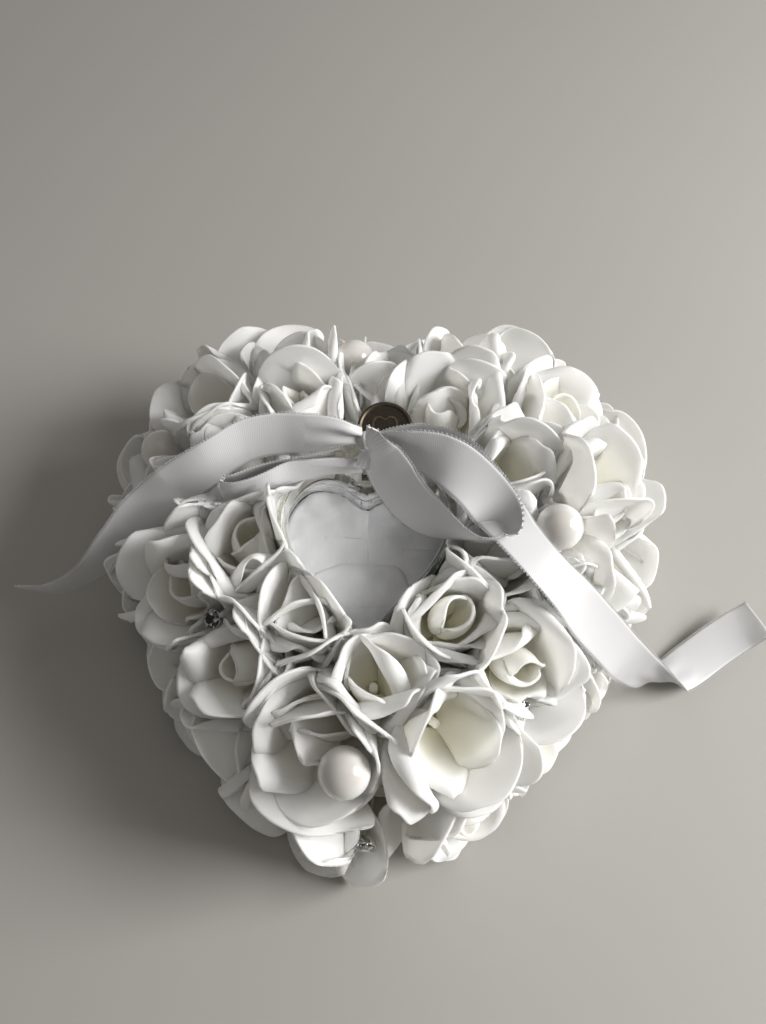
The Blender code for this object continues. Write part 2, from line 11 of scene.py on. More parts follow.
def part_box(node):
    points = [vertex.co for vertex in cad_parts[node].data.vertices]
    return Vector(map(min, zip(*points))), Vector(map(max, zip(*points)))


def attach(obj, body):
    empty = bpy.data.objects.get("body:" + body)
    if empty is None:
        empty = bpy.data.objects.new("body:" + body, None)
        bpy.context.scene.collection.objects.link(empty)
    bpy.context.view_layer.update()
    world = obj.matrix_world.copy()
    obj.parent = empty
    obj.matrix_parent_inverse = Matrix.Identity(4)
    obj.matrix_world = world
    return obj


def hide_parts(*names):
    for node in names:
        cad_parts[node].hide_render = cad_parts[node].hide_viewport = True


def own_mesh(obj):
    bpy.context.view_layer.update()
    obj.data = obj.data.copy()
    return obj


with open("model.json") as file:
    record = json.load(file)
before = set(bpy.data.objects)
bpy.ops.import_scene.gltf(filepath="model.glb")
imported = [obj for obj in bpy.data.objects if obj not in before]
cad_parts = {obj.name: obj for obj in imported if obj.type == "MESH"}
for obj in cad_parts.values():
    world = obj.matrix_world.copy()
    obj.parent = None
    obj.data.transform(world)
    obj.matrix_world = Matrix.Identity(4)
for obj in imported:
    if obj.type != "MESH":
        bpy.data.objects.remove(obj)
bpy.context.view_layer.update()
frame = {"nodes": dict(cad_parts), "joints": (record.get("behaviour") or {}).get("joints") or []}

scene = bpy.context.scene
mm = 0.001
up = Vector((0, 0, 1))

hinge = Vector(next(j for j in frame["joints"] if j["name"] == "lid_hinge")["pos_m"])
foamLow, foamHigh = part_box("foam_heart")
cardLow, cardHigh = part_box("base_card")
lidLow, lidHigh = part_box("box_lid")
trayLow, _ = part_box("box_tray")
foamSize = foamHigh - foamLow


def nodeAxis(name):
    # axis of a turned node: where its stem or needle ends, the way it points, and how far it reaches
    points = np.array([v.co for v in frame["nodes"][name].data.vertices])
    points = np.unique(np.round(points, 6), axis=0)
    middle = points.mean(0)
    far = points[np.argmax(np.linalg.norm(points - middle, axis=1))]
    end = points[np.linalg.norm(points - far, axis=1) < 0.003].mean(0)
    axis = (middle - end) / np.linalg.norm(middle - end)
    along = (points - end) @ axis
    return end, axis, along.max()


def finishMesh(name, verts, faces, materials, body, smooth=True, attributes=None, uv=None):
    mesh = bpy.data.meshes.new(name)
    mesh.from_pydata([tuple(v) for v in verts], [], [tuple(int(i) for i in f) for f in faces])
    for key, values in (attributes or {}).items():
        layer = mesh.attributes.new(key, "FLOAT", "POINT")
        layer.data.foreach_set("value", np.asarray(values, np.float32))
    if uv is not None:
        layer = mesh.uv_layers.new(name="weave")
        corners = np.empty(len(mesh.loops), np.int32)
        mesh.loops.foreach_get("vertex_index", corners)
        layer.data.foreach_set("uv", np.asarray(uv, np.float32)[corners].ravel())
    if smooth:
        mesh.polygons.foreach_set("use_smooth", [True] * len(mesh.polygons))
    mesh.update()
    obj = bpy.data.objects.new(name, mesh)
    scene.collection.objects.link(obj)
    for material in materials:
        mesh.materials.append(material)
    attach(obj, body)
    return obj


def hangOn(piece, holder):
    # a small piece that goes wherever its holder goes
    piece.parent = holder
    piece.matrix_parent_inverse = holder.matrix_world.inverted()


def shadeCrisp(piece, degrees):
    piece.data.shade_smooth()
    piece.data.set_sharp_from_angle(angle=math.radians(degrees))


def gridNormals(grid):
    du = np.gradient(grid, axis=1)
    dv = np.gradient(grid, axis=0)
    normals = np.cross(du, dv)
    lengths = np.linalg.norm(normals, axis=2, keepdims=True)
    return normals / np.maximum(lengths, 1e-12)


def thickSheet(grid, thickness, normals=None):
    # both faces of a sheet with a rounded rim: points, quads and the grid index of each point
    rows, columns = grid.shape[:2]
    if normals is None:
        normals = gridNormals(grid)
    index = np.arange(rows * columns).reshape(rows, columns)
    rim = np.concatenate([index[0, :-1], index[:-1, -1], index[-1, :0:-1], index[:0:-1, 0]])
    inner = np.ix_(np.clip(np.arange(rows), 1, rows - 2), np.clip(np.arange(columns), 1, columns - 2))
    pulled = grid.copy()
    toward = grid[inner] - grid
    reach = np.linalg.norm(toward, axis=2, keepdims=True)
    pulled += toward * np.minimum(1.0, thickness * 0.5 / np.maximum(reach, 1e-9)) * (reach > 0)
    half = normals * thickness / 2
    front, back = (pulled + half).reshape(-1, 3), (pulled - half).reshape(-1, 3)
    edge = grid.reshape(-1, 3)[rim]
    count = rows * columns
    a, b, c, d = index[:-1, :-1], index[:-1, 1:], index[1:, 1:], index[1:, :-1]
    quads = np.stack([a, b, c, d], axis=2).reshape(-1, 4)
    turn = np.roll(np.arange(len(rim)), -1)
    edgeIndex = 2 * count + np.arange(len(rim))
    upper = np.stack([rim, edgeIndex, edgeIndex[turn], rim[turn]], axis=1)
    lower = np.stack([edgeIndex, rim + count, rim[turn] + count, edgeIndex[turn]], axis=1)
    faces = np.concatenate([quads, quads[:, ::-1] + count, upper, lower])
    return np.concatenate([front, back, edge]), faces, np.concatenate([index.ravel(), index.ravel(), rim])


class Pile:
    # gathers many small meshes into one
    def __init__(self):
        self.verts, self.faces, self.marks, self.total = [], [], [], 0

    def add(self, verts, faces, **marks):
        self.verts.append(np.asarray(verts, float))
        self.faces += [tuple(int(i) + self.total for i in f) for f in faces]
        self.marks.append({k: np.broadcast_to(v, (len(verts),)) for k, v in marks.items()})
        self.total += len(verts)

    def make(self, name, materials, body, smooth=True):
        keys = set().union(*[set(m) for m in self.marks])
        attributes = {k: np.concatenate([m[k] for m in self.marks]) for k in sorted(keys)}
        return finishMesh(name, np.concatenate(self.verts), self.faces, materials, body, smooth, attributes)


def lathe(profile, steps, place=Matrix(), closed=True):
    # a turned shape from (radius, height) pairs, top to bottom
    verts, faces, rings = [], [], []
    for radius, height in profile:
        if radius < 1e-7:
            rings.append([len(verts)])
            verts.append(place @ Vector((0, 0, height)))
            continue
        rings.append(list(range(len(verts), len(verts) + steps)))
        for i in range(steps):
            turn = 2 * math.pi * i / steps
            verts.append(place @ Vector((radius * math.cos(turn), radius * math.sin(turn), height)))
    for upper, lower in zip(rings, rings[1:]):
        for i in range(steps):
            j = (i + 1) % steps
            if len(upper) == 1 and len(lower) == 1:
                continue
            if len(upper) == 1:
                faces.append((upper[0], lower[i], lower[j]))
            elif len(lower) == 1:
                faces.append((upper[i], lower[0], upper[j]))
            else:
                faces.append((upper[i], lower[i], lower[j], upper[j]))
    return np.array([tuple(v) for v in verts]), faces


def placeOn(point, axis, spin=0.0):
    turn = up.rotation_difference(Vector(axis)).to_matrix().to_4x4()
    return Matrix.Translation(Vector(point)) @ turn @ Matrix.Rotation(spin, 4, "Z")


def smoothCurve(stops, count):
    # count points on a smooth curve through the stops
    stops = np.asarray(stops, float)
    last = len(stops) - 1
    made = []
    for k in range(count):
        along = k / (count - 1) * last
        i = min(int(along), last - 1)
        t = along - i
        p0, p1, p2, p3 = (stops[min(max(i + n, 0), last)] for n in (-1, 0, 1, 2))
        bend, twist = 2 * p0 - 5 * p1 + 4 * p2 - p3, 3 * p1 - p0 - 3 * p2 + p3
        made.append((2 * p1 + (p2 - p0) * t + bend * t**2 + twist * t**3) / 2)
    return np.array(made)


def bezier(controls, t):
    a, b, c, d = (np.asarray(p, float) for p in controls)
    t = np.asarray(t)[..., None]
    return a * (1 - t) ** 3 + 3 * b * t * (1 - t) ** 2 + 3 * c * t**2 * (1 - t) + d * t**3


def heartOutline(width, depth, waist, cleft, count, centre=(0.0, 0.0)):
    # evenly spaced points of a heart, clockwise from its cleft
    turn = np.linspace(0, 2 * math.pi, 1440, endpoint=False)
    x = (1 - waist) * np.sin(turn) + waist * np.sin(turn) ** 3
    heart = 13 * np.cos(turn) - 5 * np.cos(2 * turn) - 2 * np.cos(3 * turn) - np.cos(4 * turn)
    y = (1 - cleft) * np.cos(turn) + cleft * (heart + 2.5) / 14.5
    x *= width / 2 / x.max()
    top = y.max()
    y = (y + (1 - top) / 2) * depth / (top + 1)
    fine = np.stack([x + centre[0], y + centre[1]], axis=1)
    steps = np.linalg.norm(np.roll(fine, -1, axis=0) - fine, axis=1)
    walked = np.concatenate([[0], np.cumsum(steps)])
    closed = np.vstack([fine, fine[:1]])
    wanted = np.arange(count) / count * walked[-1]
    return np.stack([np.interp(wanted, walked, closed[:, i]) for i in (0, 1)], axis=1)


def loftRings(rings, capStart=True, capEnd=True):
    count = len(rings[0])
    verts = np.concatenate([np.asarray(r, float) for r in rings])
    faces = []
    for k in range(len(rings) - 1):
        for i in range(count):
            j = (i + 1) % count
            faces.append((k * count + i, k * count + j, (k + 1) * count + j, (k + 1) * count + i))
    if capStart:
        faces.append(tuple(reversed(range(count))))
    if capEnd:
        faces.append(tuple((len(rings) - 1) * count + i for i in range(count)))
    return verts, faces


def newMaterial(name, **sockets):
    material = bpy.data.materials.new(name)
    material.use_nodes = True
    shader = material.node_tree.nodes["Principled BSDF"]
    for key, value in sockets.items():
        shader.inputs[key.replace("_", " ")].default_value = value
    return material, material.node_tree, shader


def addNode(tree, kind, inputs=None, **settings):
    made = tree.nodes.new(kind)
    for key, value in settings.items():
        setattr(made, key, value)
    for key, value in (inputs or {}).items():
        if isinstance(value, bpy.types.NodeSocket):
            tree.links.new(value, made.inputs[key])
        else:
            made.inputs[key].default_value = value
    return made


def objectPlace(tree):
    return addNode(tree, "ShaderNodeTexCoord").outputs["Object"]


def noiseNode(tree, vector, scale, detail, **more):
    return addNode(tree, "ShaderNodeTexNoise", {"Vector": vector, "Scale": scale, "Detail": detail, **more})


def timesPlus(tree, value, factor, plus):
    inputs = {0: value, 1: factor, 2: plus}
    return addNode(tree, "ShaderNodeMath", inputs, operation="MULTIPLY_ADD").outputs[0]


def newGroup(name, inputs, outputs):
    group = bpy.data.node_groups.new(name, "ShaderNodeTree")
    for title, kind, value in inputs:
        socket = group.interface.new_socket(title, in_out="INPUT", socket_type=kind)
        if value is not None:
            socket.default_value = value
    for title, kind in outputs:
        group.interface.new_socket(title, in_out="OUTPUT", socket_type=kind)
    return group, group.nodes.new("NodeGroupInput"), group.nodes.new("NodeGroupOutput")


def skinGroup():
    # fine closed-cell skin with a slow unevenness under it
    group, given, result = newGroup(
        "foamSkin",
        [("Cell", "NodeSocketFloat", 2200.0), ("Swell", "NodeSocketFloat", 180.0)],
        [("Height", "NodeSocketFloat"), ("Mottle", "NodeSocketFloat")],
    )
    place = objectPlace(group)
    cells = noiseNode(group, place, given.outputs["Cell"], 3.0)
    swell = noiseNode(group, place, given.outputs["Swell"], 2.0)
    height = timesPlus(group, swell.outputs["Fac"], 2.0, cells.outputs["Fac"])
    group.links.new(height, result.inputs["Height"])
    group.links.new(swell.outputs["Fac"], result.inputs["Mottle"])
    return group


foamSkin = skinGroup()


def useGroup(tree, group, **values):
    return addNode(tree, "ShaderNodeGroup", values, node_tree=group)


def bumpInto(tree, shader, height, strength, distance):
    bump = addNode(tree, "ShaderNodeBump", {"Height": height, "Strength": strength, "Distance": distance})
    tree.links.new(bump.outputs["Normal"], shader.inputs["Normal"])


def rampInto(tree, value, target, *stops):
    ramp = addNode(tree, "ShaderNodeValToRGB", {"Fac": value})
    elements = ramp.color_ramp.elements
    while len(elements) < len(stops):
        elements.new(0.5)
    for element, (at, colour) in zip(elements, stops):
        element.position = at
        element.color = (*colour, 1.0)
    tree.links.new(ramp.outputs["Color"], target)
    return ramp


petalLookAndPaintedShade = {
    # deep and warm are painted warm shade for the crevices; face is the foam's own near-white
    "deep": (0.93, 0.90, 0.72),
    "warm": (0.96, 0.95, 0.89),
    "face": (0.98, 0.98, 0.975),
    "rough": 0.52,
    "through": 0.16,
}


def petalMaterial():
    material, tree, shader = newMaterial(
        "petalFoam",
        Roughness=petalLookAndPaintedShade["rough"],
        Subsurface_Weight=0.6,
        Subsurface_Radius=(1.0, 0.98, 0.94),
        Subsurface_Scale=0.0045,
        Specular_IOR_Level=0.35,
        Sheen_Weight=0.08,
    )
    skin = useGroup(tree, foamSkin, Cell=2600.0, Swell=150.0)
    reach = addNode(tree, "ShaderNodeAttribute", attribute_name="reach")
    # low reach, at the foot of a petal and in the rose's middle, is painted cream as warm crevice shade, with
    # a random mottle on top
    mottleAndCreviceShade = timesPlus(tree, skin.outputs["Mottle"], 0.14, reach.outputs["Fac"])
    stops = ((0.20, petalLookAndPaintedShade["deep"]), (0.46, petalLookAndPaintedShade["warm"]), (0.74, petalLookAndPaintedShade["face"]))
    rampInto(tree, mottleAndCreviceShade, shader.inputs["Base Color"], *stops)
    bumpInto(tree, shader, skin.outputs["Height"], 0.10, 0.00008)
    # light also passes right through the thin foam
    glow = addNode(tree, "ShaderNodeBsdfTranslucent", {"Color": (0.985, 0.975, 0.92, 1.0)})
    inputs = {0: petalLookAndPaintedShade["through"], 1: shader.outputs[0], 2: glow.outputs[0]}
    mix = addNode(tree, "ShaderNodeMixShader", inputs)
    tree.links.new(mix.outputs[0], tree.nodes["Material Output"].inputs["Surface"])
    return material


def foamMaterial():
    sockets = {"Roughness": 0.9, "Subsurface_Weight": 0.15, "Subsurface_Scale": 0.002}
    material, tree, shader = newMaterial("blockFoam", **sockets)
    place = objectPlace(tree)
    inputs = {"Vector": place, "Scale": 520.0}
    beads = addNode(tree, "ShaderNodeTexVoronoi", inputs, feature="DISTANCE_TO_EDGE")
    # the seams between the beads are painted darker and warmer, as painted shade in the grooves
    shade = ((0.0, (0.66, 0.62, 0.50)), (0.12, (0.86, 0.85, 0.80)), (1.0, (0.89, 0.885, 0.86)))
    rampInto(tree, beads.outputs["Distance"], shader.inputs["Base Color"], *shade)
    bumpInto(tree, shader, beads.outputs["Distance"], 0.5, 0.0004)
    return material


def cardMaterial():
    material, tree, shader = newMaterial("baseBoard", Roughness=0.9)
    place = objectPlace(tree)
    fibres = noiseNode(tree, place, 700.0, 6.0, Roughness=0.7)
    shade = ((0.3, (0.70, 0.68, 0.63)), (0.7, (0.83, 0.82, 0.78)))
    rampInto(tree, fibres.outputs["Fac"], shader.inputs["Base Color"], *shade)
    bumpInto(tree, shader, fibres.outputs["Fac"], 0.3, 0.00015)
    return material


def clearMaterial():
    material, tree, shader = newMaterial(
        "clearStyrene", Roughness=0.03, IOR=1.42, Base_Color=(0.97, 0.975, 0.98, 1.0), Transmission_Weight=1.0
    )
    lamp = addNode(tree, "ShaderNodeLightPath").outputs["Is Shadow Ray"]
    clear = timesPlus(tree, lamp, -0.88, 1.0)
    tree.links.new(clear, shader.inputs["Alpha"])
    place = objectPlace(tree)
    flow = noiseNode(tree, place, 60.0, 1.0)
    bumpInto(tree, shader, flow.outputs["Fac"], 0.12, 0.0006)
    return material


def satinMaterial():
    material, tree, shader = newMaterial(
        "ribbedSatin", Roughness=0.42, Sheen_Weight=0.25, Sheen_Roughness=0.35, Specular_IOR_Level=0.45
    )
    weave = addNode(tree, "ShaderNodeUVMap", uv_map="weave").outputs["UV"]
    turned = addNode(tree, "ShaderNodeMapping", {"Vector": weave, "Rotation": (0, 0, math.radians(12))})
    ribs = addNode(
        tree,
        "ShaderNodeTexWave",
        {"Vector": turned.outputs["Vector"], "Scale": 700.0, "Distortion": 0.4, "Detail": 1.0},
        bands_direction="Y",
    )
    threads = addNode(
        tree, "ShaderNodeTexWave", {"Vector": weave, "Scale": 1100.0, "Distortion": 0.6}, bands_direction="X"
    )
    both = timesPlus(tree, threads.outputs["Fac"], 0.35, ribs.outputs["Fac"])
    shade = ((0.0, (0.52, 0.52, 0.52)), (0.7, (0.635, 0.635, 0.64)))
    rampInto(tree, both, shader.inputs["Base Color"], *shade)
    bumpInto(tree, shader, both, 0.25, 0.00006)
    return material


def leafMaterial():
    material, tree, shader = newMaterial("petalCloth", Roughness=0.75, Sheen_Weight=0.3)
    place = objectPlace(tree)
    stretched = addNode(tree, "ShaderNodeMapping", {"Vector": place, "Scale": (1.0, 0.35, 1.0)})
    fibre = noiseNode(tree, stretched.outputs["Vector"], 2400.0, 4.0)
    cloud = noiseNode(tree, place, 120.0, 2.0)
    mixed = timesPlus(tree, fibre.outputs["Fac"], 0.5, cloud.outputs["Fac"])
    shade = ((0.45, (0.56, 0.56, 0.565)), (0.95, (0.66, 0.66, 0.665)))
    rampInto(tree, mixed, shader.inputs["Base Color"], *shade)
    bumpInto(tree, shader, fibre.outputs["Fac"], 0.3, 0.0001)
    return material


def pearlMaterial():
    lacquer = {"Roughness": 0.22, "Coat_Weight": 0.8, "Coat_Roughness": 0.08}
    material, tree, shader = newMaterial(
        "pearlLacquer", Subsurface_Weight=0.2, Subsurface_Scale=0.002, **lacquer
    )
    # painted reflection: the middle that faces the camera is painted darker and the rim painted lighter
    facing = addNode(tree, "ShaderNodeLayerWeight", {"Blend": 0.45}).outputs["Facing"]
    shade = ((0.0, (0.60, 0.575, 0.54)), (0.45, (0.74, 0.725, 0.70)), (0.85, (0.92, 0.915, 0.90)))
    rampInto(tree, facing, shader.inputs["Base Color"], *shade)
    place = objectPlace(tree)
    swirl = noiseNode(tree, place, 260.0, 2.0)
    bumpInto(tree, shader, swirl.outputs["Fac"], 0.05, 0.0002)
    return material


def metalMaterial(name, colour, rough, grain):
    material, tree, shader = newMaterial(name, Metallic=1.0)
    place = objectPlace(tree)
    noise = noiseNode(tree, place, grain, 4.0)
    darker = tuple(c * 0.78 for c in colour)
    rampInto(tree, noise.outputs["Fac"], shader.inputs["Base Color"], (0.3, darker), (0.7, colour))
    low = timesPlus(tree, noise.outputs["Fac"], 0.2, rough - 0.1)
    tree.links.new(low, shader.inputs["Roughness"])
    return material


def stoneMaterial():
    material, tree, shader = newMaterial(
        "foiledStone", Roughness=0.05, Metallic=0.85, Coat_Weight=0.6, Coat_Roughness=0.03
    )
    # each facet gets a random colour from near black to near white: painted glints and painted reflections of
    # a cut stone
    facet = addNode(tree, "ShaderNodeAttribute", attribute_name="facet")
    shade = ((0.0, (0.02, 0.025, 0.02)), (0.45, (0.30, 0.32, 0.30)), (1.0, (0.98, 0.99, 0.97)))
    rampInto(tree, facet.outputs["Fac"], shader.inputs["Base Color"], *shade)
    return material


def bronzeMaterial():
    # blackened bronze, lighter on the raised rim and emblem
    material, tree, shader = newMaterial("blackBronze", Metallic=0.9)
    raised = addNode(tree, "ShaderNodeAttribute", attribute_name="raised")
    place = objectPlace(tree)
    noise = noiseNode(tree, place, 1300.0, 4.0)
    raisedAndNoise = timesPlus(tree, noise.outputs["Fac"], 0.35, raised.outputs["Fac"])
    shade = ((0.20, (0.045, 0.036, 0.028)), (0.60, (0.10, 0.080, 0.058)), (1.0, (0.30, 0.245, 0.16)))
    rampInto(tree, raisedAndNoise, shader.inputs["Base Color"], *shade)
    rough = timesPlus(tree, noise.outputs["Fac"], 0.25, 0.28)
    tree.links.new(rough, shader.inputs["Roughness"])
    bumpInto(tree, shader, noise.outputs["Fac"], 0.15, 0.0001)
    return material


petalFoam = petalMaterial()
blockFoam = foamMaterial()
baseBoard = cardMaterial()
clearStyrene = clearMaterial()
ribbedSatin = satinMaterial()
petalCloth = leafMaterial()
pearlLacquer = pearlMaterial()
wireSteel = metalMaterial("wireSteel", (0.72, 0.72, 0.74), 0.28, 900.0)
clawSilver = metalMaterial("clawSilver", (0.80, 0.80, 0.79), 0.22, 1400.0)
foiledStone = stoneMaterial()
blackBronze = bronzeMaterial()
print("materials made")

boxShape = {
    "waist": 0.60,
    "cleft": 0.68,
    "hingeOffset": 0.0019,
    "wall": 0.0012,
    "edge": 0.0010,
    "count": 168,
}
boxWidth = lidHigh.x - lidLow.x
boxCentreX = (lidHigh.x + lidLow.x) / 2
boxBack = hinge.y - boxShape["hingeOffset"]
boxDepth = boxBack - lidLow.y
boxCentre = (boxCentreX, (boxBack + lidLow.y) / 2)
lidTop = hinge.z + 0.0008
rimLevel = lidLow.z
boxBottom = trayLow.z


def boxHeart(inset, count=boxShape["count"]):
    return heartOutline(
        boxWidth - 2 * inset, boxDepth - 2 * inset, boxShape["waist"], boxShape["cleft"], count, boxCentre
    )


def ringAt(outline, level):
    return np.column_stack([outline, np.full(len(outline), level)])


def boxProfiles():
    wall, edge = boxShape["wall"], boxShape["edge"]
    rounded = [(edge * (1 - math.sin(t)), edge * (1 - math.cos(t))) for t in np.linspace(0, math.pi / 2, 5)]
    tray = [(inset, boxBottom + rise) for inset, rise in rounded]
    tray += [(0, rimLevel - 0.0016), (-0.0003, rimLevel - 0.0013), (-0.0003, rimLevel - 0.0004)]
    tray += [(wall, rimLevel - 0.0004), (wall, boxBottom + wall + 0.0008), (wall + 0.0008, boxBottom + wall)]
    lid = [(wall + 0.0006, lidTop - wall), (wall, lidTop - wall - 0.0006), (wall, rimLevel)]
    lid += [(-0.0003, rimLevel), (-0.0003, rimLevel + 0.0009), (0, rimLevel + 0.0012)]
    lid += [(inset, lidTop - rise) for inset, rise in reversed(rounded)]
    return tray, lid


def hingeBlocks(pile, middle, blocks, radius=0.0014, length=0.0030):
    # barrel and arms of one knuckle
    low, high = middle - length / 2, middle + length / 2
    ring = []
    for i in range(24):
        turn = 2 * math.pi * i / 24
        ring.append((hinge.y + radius * math.cos(turn), hinge.z + radius * math.sin(turn)))
    rings = [[(x, y, z) for y, z in ring] for x in (low, high)]
    pile.add(*loftRings(rings), shell=1.0)
    for front, back, under, top in blocks:
        corners = [(front, under), (back, under), (back, top), (front, top)]
        pile.add(*loftRings([[(x, y, z) for y, z in corners] for x in (low, high)]), shell=1.0)


def makeBox():
    trayProfile, lidProfile = boxProfiles()
    cleftY = boxHeart(0)[0][1]
    wallY = cleftY - boxShape["wall"] / 2
    pitch = 0.0033
    tray = Pile()
    tray.add(*loftRings([ringAt(boxHeart(i), z) for i, z in trayProfile]), shell=1.0)
    foot, heel = rimLevel - 0.0033, hinge.y + 0.001
    arm = (wallY, heel, foot, rimLevel - 0.0011)
    hingeBlocks(tray, hinge.x, [arm, (hinge.y - 0.0013, heel, foot, hinge.z)])
    trayPiece = tray.make("ringBoxTray", [clearStyrene], "body", smooth=False)
    lid = Pile()
    lid.add(*loftRings([ringAt(boxHeart(i), z) for i, z in lidProfile]), shell=1.0)
    for side in (-1, 1):
        hingeBlocks(lid, hinge.x + side * pitch, [(wallY, hinge.y, hinge.z - 0.0008, hinge.z + 0.00084)])
    lidPiece = lid.make("ringBoxLid", [clearStyrene], "lid", smooth=False)
    for piece, node in ((trayPiece, "box_tray"), (lidPiece, "box_lid")):
        shadeCrisp(piece, 50)
        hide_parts(node)


makeBox()
print("ring box made")

foamShape = {"waist": 0.30, "cleft": 0.55, "shoulder": 0.024, "under": 0.002, "count": 144}


def foamHeartOutline(inset, count=foamShape["count"]):
    width, depth = foamSize.x - 2 * inset, foamSize.y - 2 * inset
    return heartOutline(width, depth, foamShape["waist"], foamShape["cleft"], count)


def makeBlock():
    top, shoulder = foamHigh.z, foamShape["shoulder"]
    pocketFloor = boxBottom - 0.0003
    pocket = boxHeart(-0.0005, foamShape["count"])
    rings = [ringAt(pocket, pocketFloor), ringAt(pocket, top)]
    for lean in range(90, -1, -10):
        angle = math.radians(lean)
        inset = shoulder * (1 - math.cos(angle))
        rings.append(ringAt(foamHeartOutline(inset), top - shoulder + shoulder * math.sin(angle)))
    rings.append(ringAt(foamHeartOutline(0), foamLow.z + 0.004))
    rings.append(ringAt(foamHeartOutline(foamShape["under"]), foamLow.z))
    verts, faces = loftRings(rings)
    block = finishMesh("foamBlock", verts, [f[::-1] for f in faces], [blockFoam], "body", smooth=False)
    shadeCrisp(block, 50)
    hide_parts("foam_heart")
    inset, edge = cardLow.x - foamLow.x, 0.0003
    profile = [(inset + edge, 0.0), (inset, edge), (inset, cardHigh.z - edge), (inset + edge, cardHigh.z)]
    verts, faces = loftRings([ringAt(foamHeartOutline(i), z) for i, z in profile])
    card = finishMesh("baseCard", verts, faces, [baseBoard], "body", smooth=False)
    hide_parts("base_card")


makeBlock()
print("foam block made")

crownLevel = foamHigh.z + 0.0175
bow = {
    "width": 0.012,
    "thickness": 0.00035,
    "picotPitch": 0.00080,
    "picotRadius": 0.00024,
    "picotWire": 0.00010,
    "pleat": 0.0010,
}
